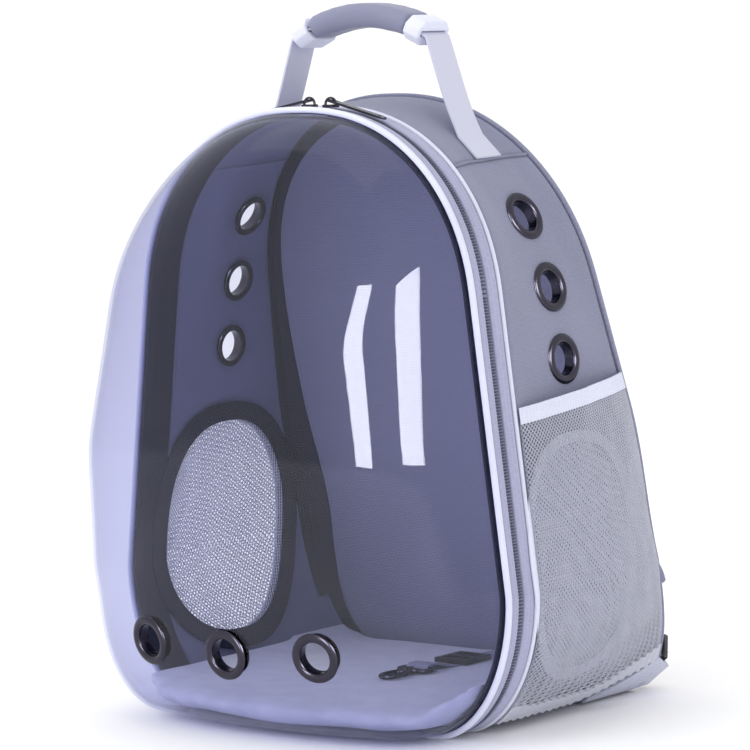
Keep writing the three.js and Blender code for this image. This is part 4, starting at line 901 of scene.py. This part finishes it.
def swollen(node, voxel, cap, pressure=4.0, frames=20, tries=3):
    """A CAD soft solid as a stuffed piece: remeshed, swollen by simulated cloth no further than cap,
    and subdivided once."""
    piece = modified(copy_of(node), "REMESH", mode="VOXEL", voxel_size=voxel)
    piece = modified(piece, "SMOOTH", factor=0.5, iterations=4)
    rest = np.array([v.co for v in piece.data.vertices])
    cloth = piece.modifiers.new("cloth", "CLOTH")
    cloth.settings.use_pressure = True
    cloth.settings.uniform_pressure_force = pressure
    cloth.settings.effector_weights.gravity = 0
    cloth.settings.quality = tries
    for number in range(1, frames + 1):
        scene.frame_set(number)
    evaluated = piece.evaluated_get(bpy.context.evaluated_depsgraph_get())
    moved = np.array([v.co for v in evaluated.data.vertices]) - rest
    piece.modifiers.remove(cloth)
    scene.frame_set(1)
    far = np.maximum(np.linalg.norm(moved, axis=1), 1e-9)
    moved *= (np.minimum(far, cap) / far)[:, None]
    piece.data.vertices.foreach_set("co", (rest + moved).ravel())
    return modified(piece, "SUBSURF", levels=1, render_levels=1)


mat = swollen("floor_pad", 0.005, 0.0012)
finished(mat, "floor_pad_fleece", FLEECE, stands_for=["floor_pad"], smooth=80)


# Carry handle: pale webbing sewn to the crown seam at both ends, through a padded grip of folded
# cloth whose ends are bound.
WEBBING = woven("pale_webbing", srgb(206, 207, 226), warp=0.0016, weft=0.0009, relief=0.0003, fleck=0.06)


def rounded_copy(node, width, name, material, body=BODY, segments=3, smooth=35):
    """A CAD solid with its edges rounded."""
    piece = modified(copy_of(node), "BEVEL", width=width, segments=segments, limit_method="ANGLE",
                     angle_limit=math.radians(30))
    return finished(piece, name, material, body, [node], smooth)


rounded_copy("handle_webbing", 0.0004, "handle_webbing_tape", WEBBING)
grip = swollen("handle_grip", 0.0024, 0.001)
finished(grip, "handle_grip_pad", CLOTH, stands_for=["handle_grip"], smooth=80)
for word, side in SIDES:
    rounded_copy(f"grip_end_{word}", 0.0012, f"grip_end_{word}_bound", PIPING)


# Shoulder straps: foam in cloth, joined to the board near the crown. Webbing runs from each to a
# ladder lock on a cloth tab at the low corner.
PLASTIC, _ = shader_of("black_acetal", srgb(28, 28, 33), 0.4)
STRAP_WEB = woven("black_webbing", srgb(40, 41, 52), warp=0.0016, weft=0.0009, relief=0.0003,
                  coordinates="Object")
STRAP_CLOTH = woven("strap_cloth", srgb(141, 143, 168), coordinates="Object")
TAB_CLOTH = woven("tab_cloth", srgb(196, 198, 218), coordinates="Object")
for word, side in SIDES:
    strap = swollen(f"shoulder_strap_{word}", 0.005, 0.002)
    finished(strap, f"shoulder_strap_{word}_pad", STRAP_CLOTH,
             stands_for=[f"shoulder_strap_{word}"], smooth=80)
    rounded_copy(f"strap_lock_{word}", 0.0008, f"strap_lock_{word}_bars", PLASTIC)
    rounded_copy(f"strap_webbing_{word}", 0.0004, f"strap_webbing_{word}_tape", STRAP_WEB)
    rounded_copy(f"strap_tab_{word}", 0.0004, f"strap_tab_{word}_cloth", TAB_CLOTH)


# Zip sliders and pulls: cast gunmetal, each pull hung on its slider's bail.
for word in ("left", "right"):
    rounded_copy(f"zip_slider_{word}", 0.0005, f"zip_slider_{word}_body", METAL)
    rounded_copy(f"zip_pull_{word}", 0.0003, f"zip_pull_{word}_tab", METAL, f"pull_{word}")


# Tether: a sewn strap with a plastic slide and a snap hook that lies on the mat.
TETHER = woven("tether_tape", srgb(150, 151, 176), warp=0.0012, weft=0.0009, coordinates="Object")
rounded_copy("tether_strap", 0.0003, "tether_strap_tape", TETHER)
rounded_copy("tether_slide", 0.0008, "tether_slide_bars", PLASTIC)
hook = modified(copy_of("tether_hook"), "SUBSURF", levels=2, render_levels=2)
finished(hook, "tether_hook_metal", METAL, stands_for=["tether_hook"], smooth=60)
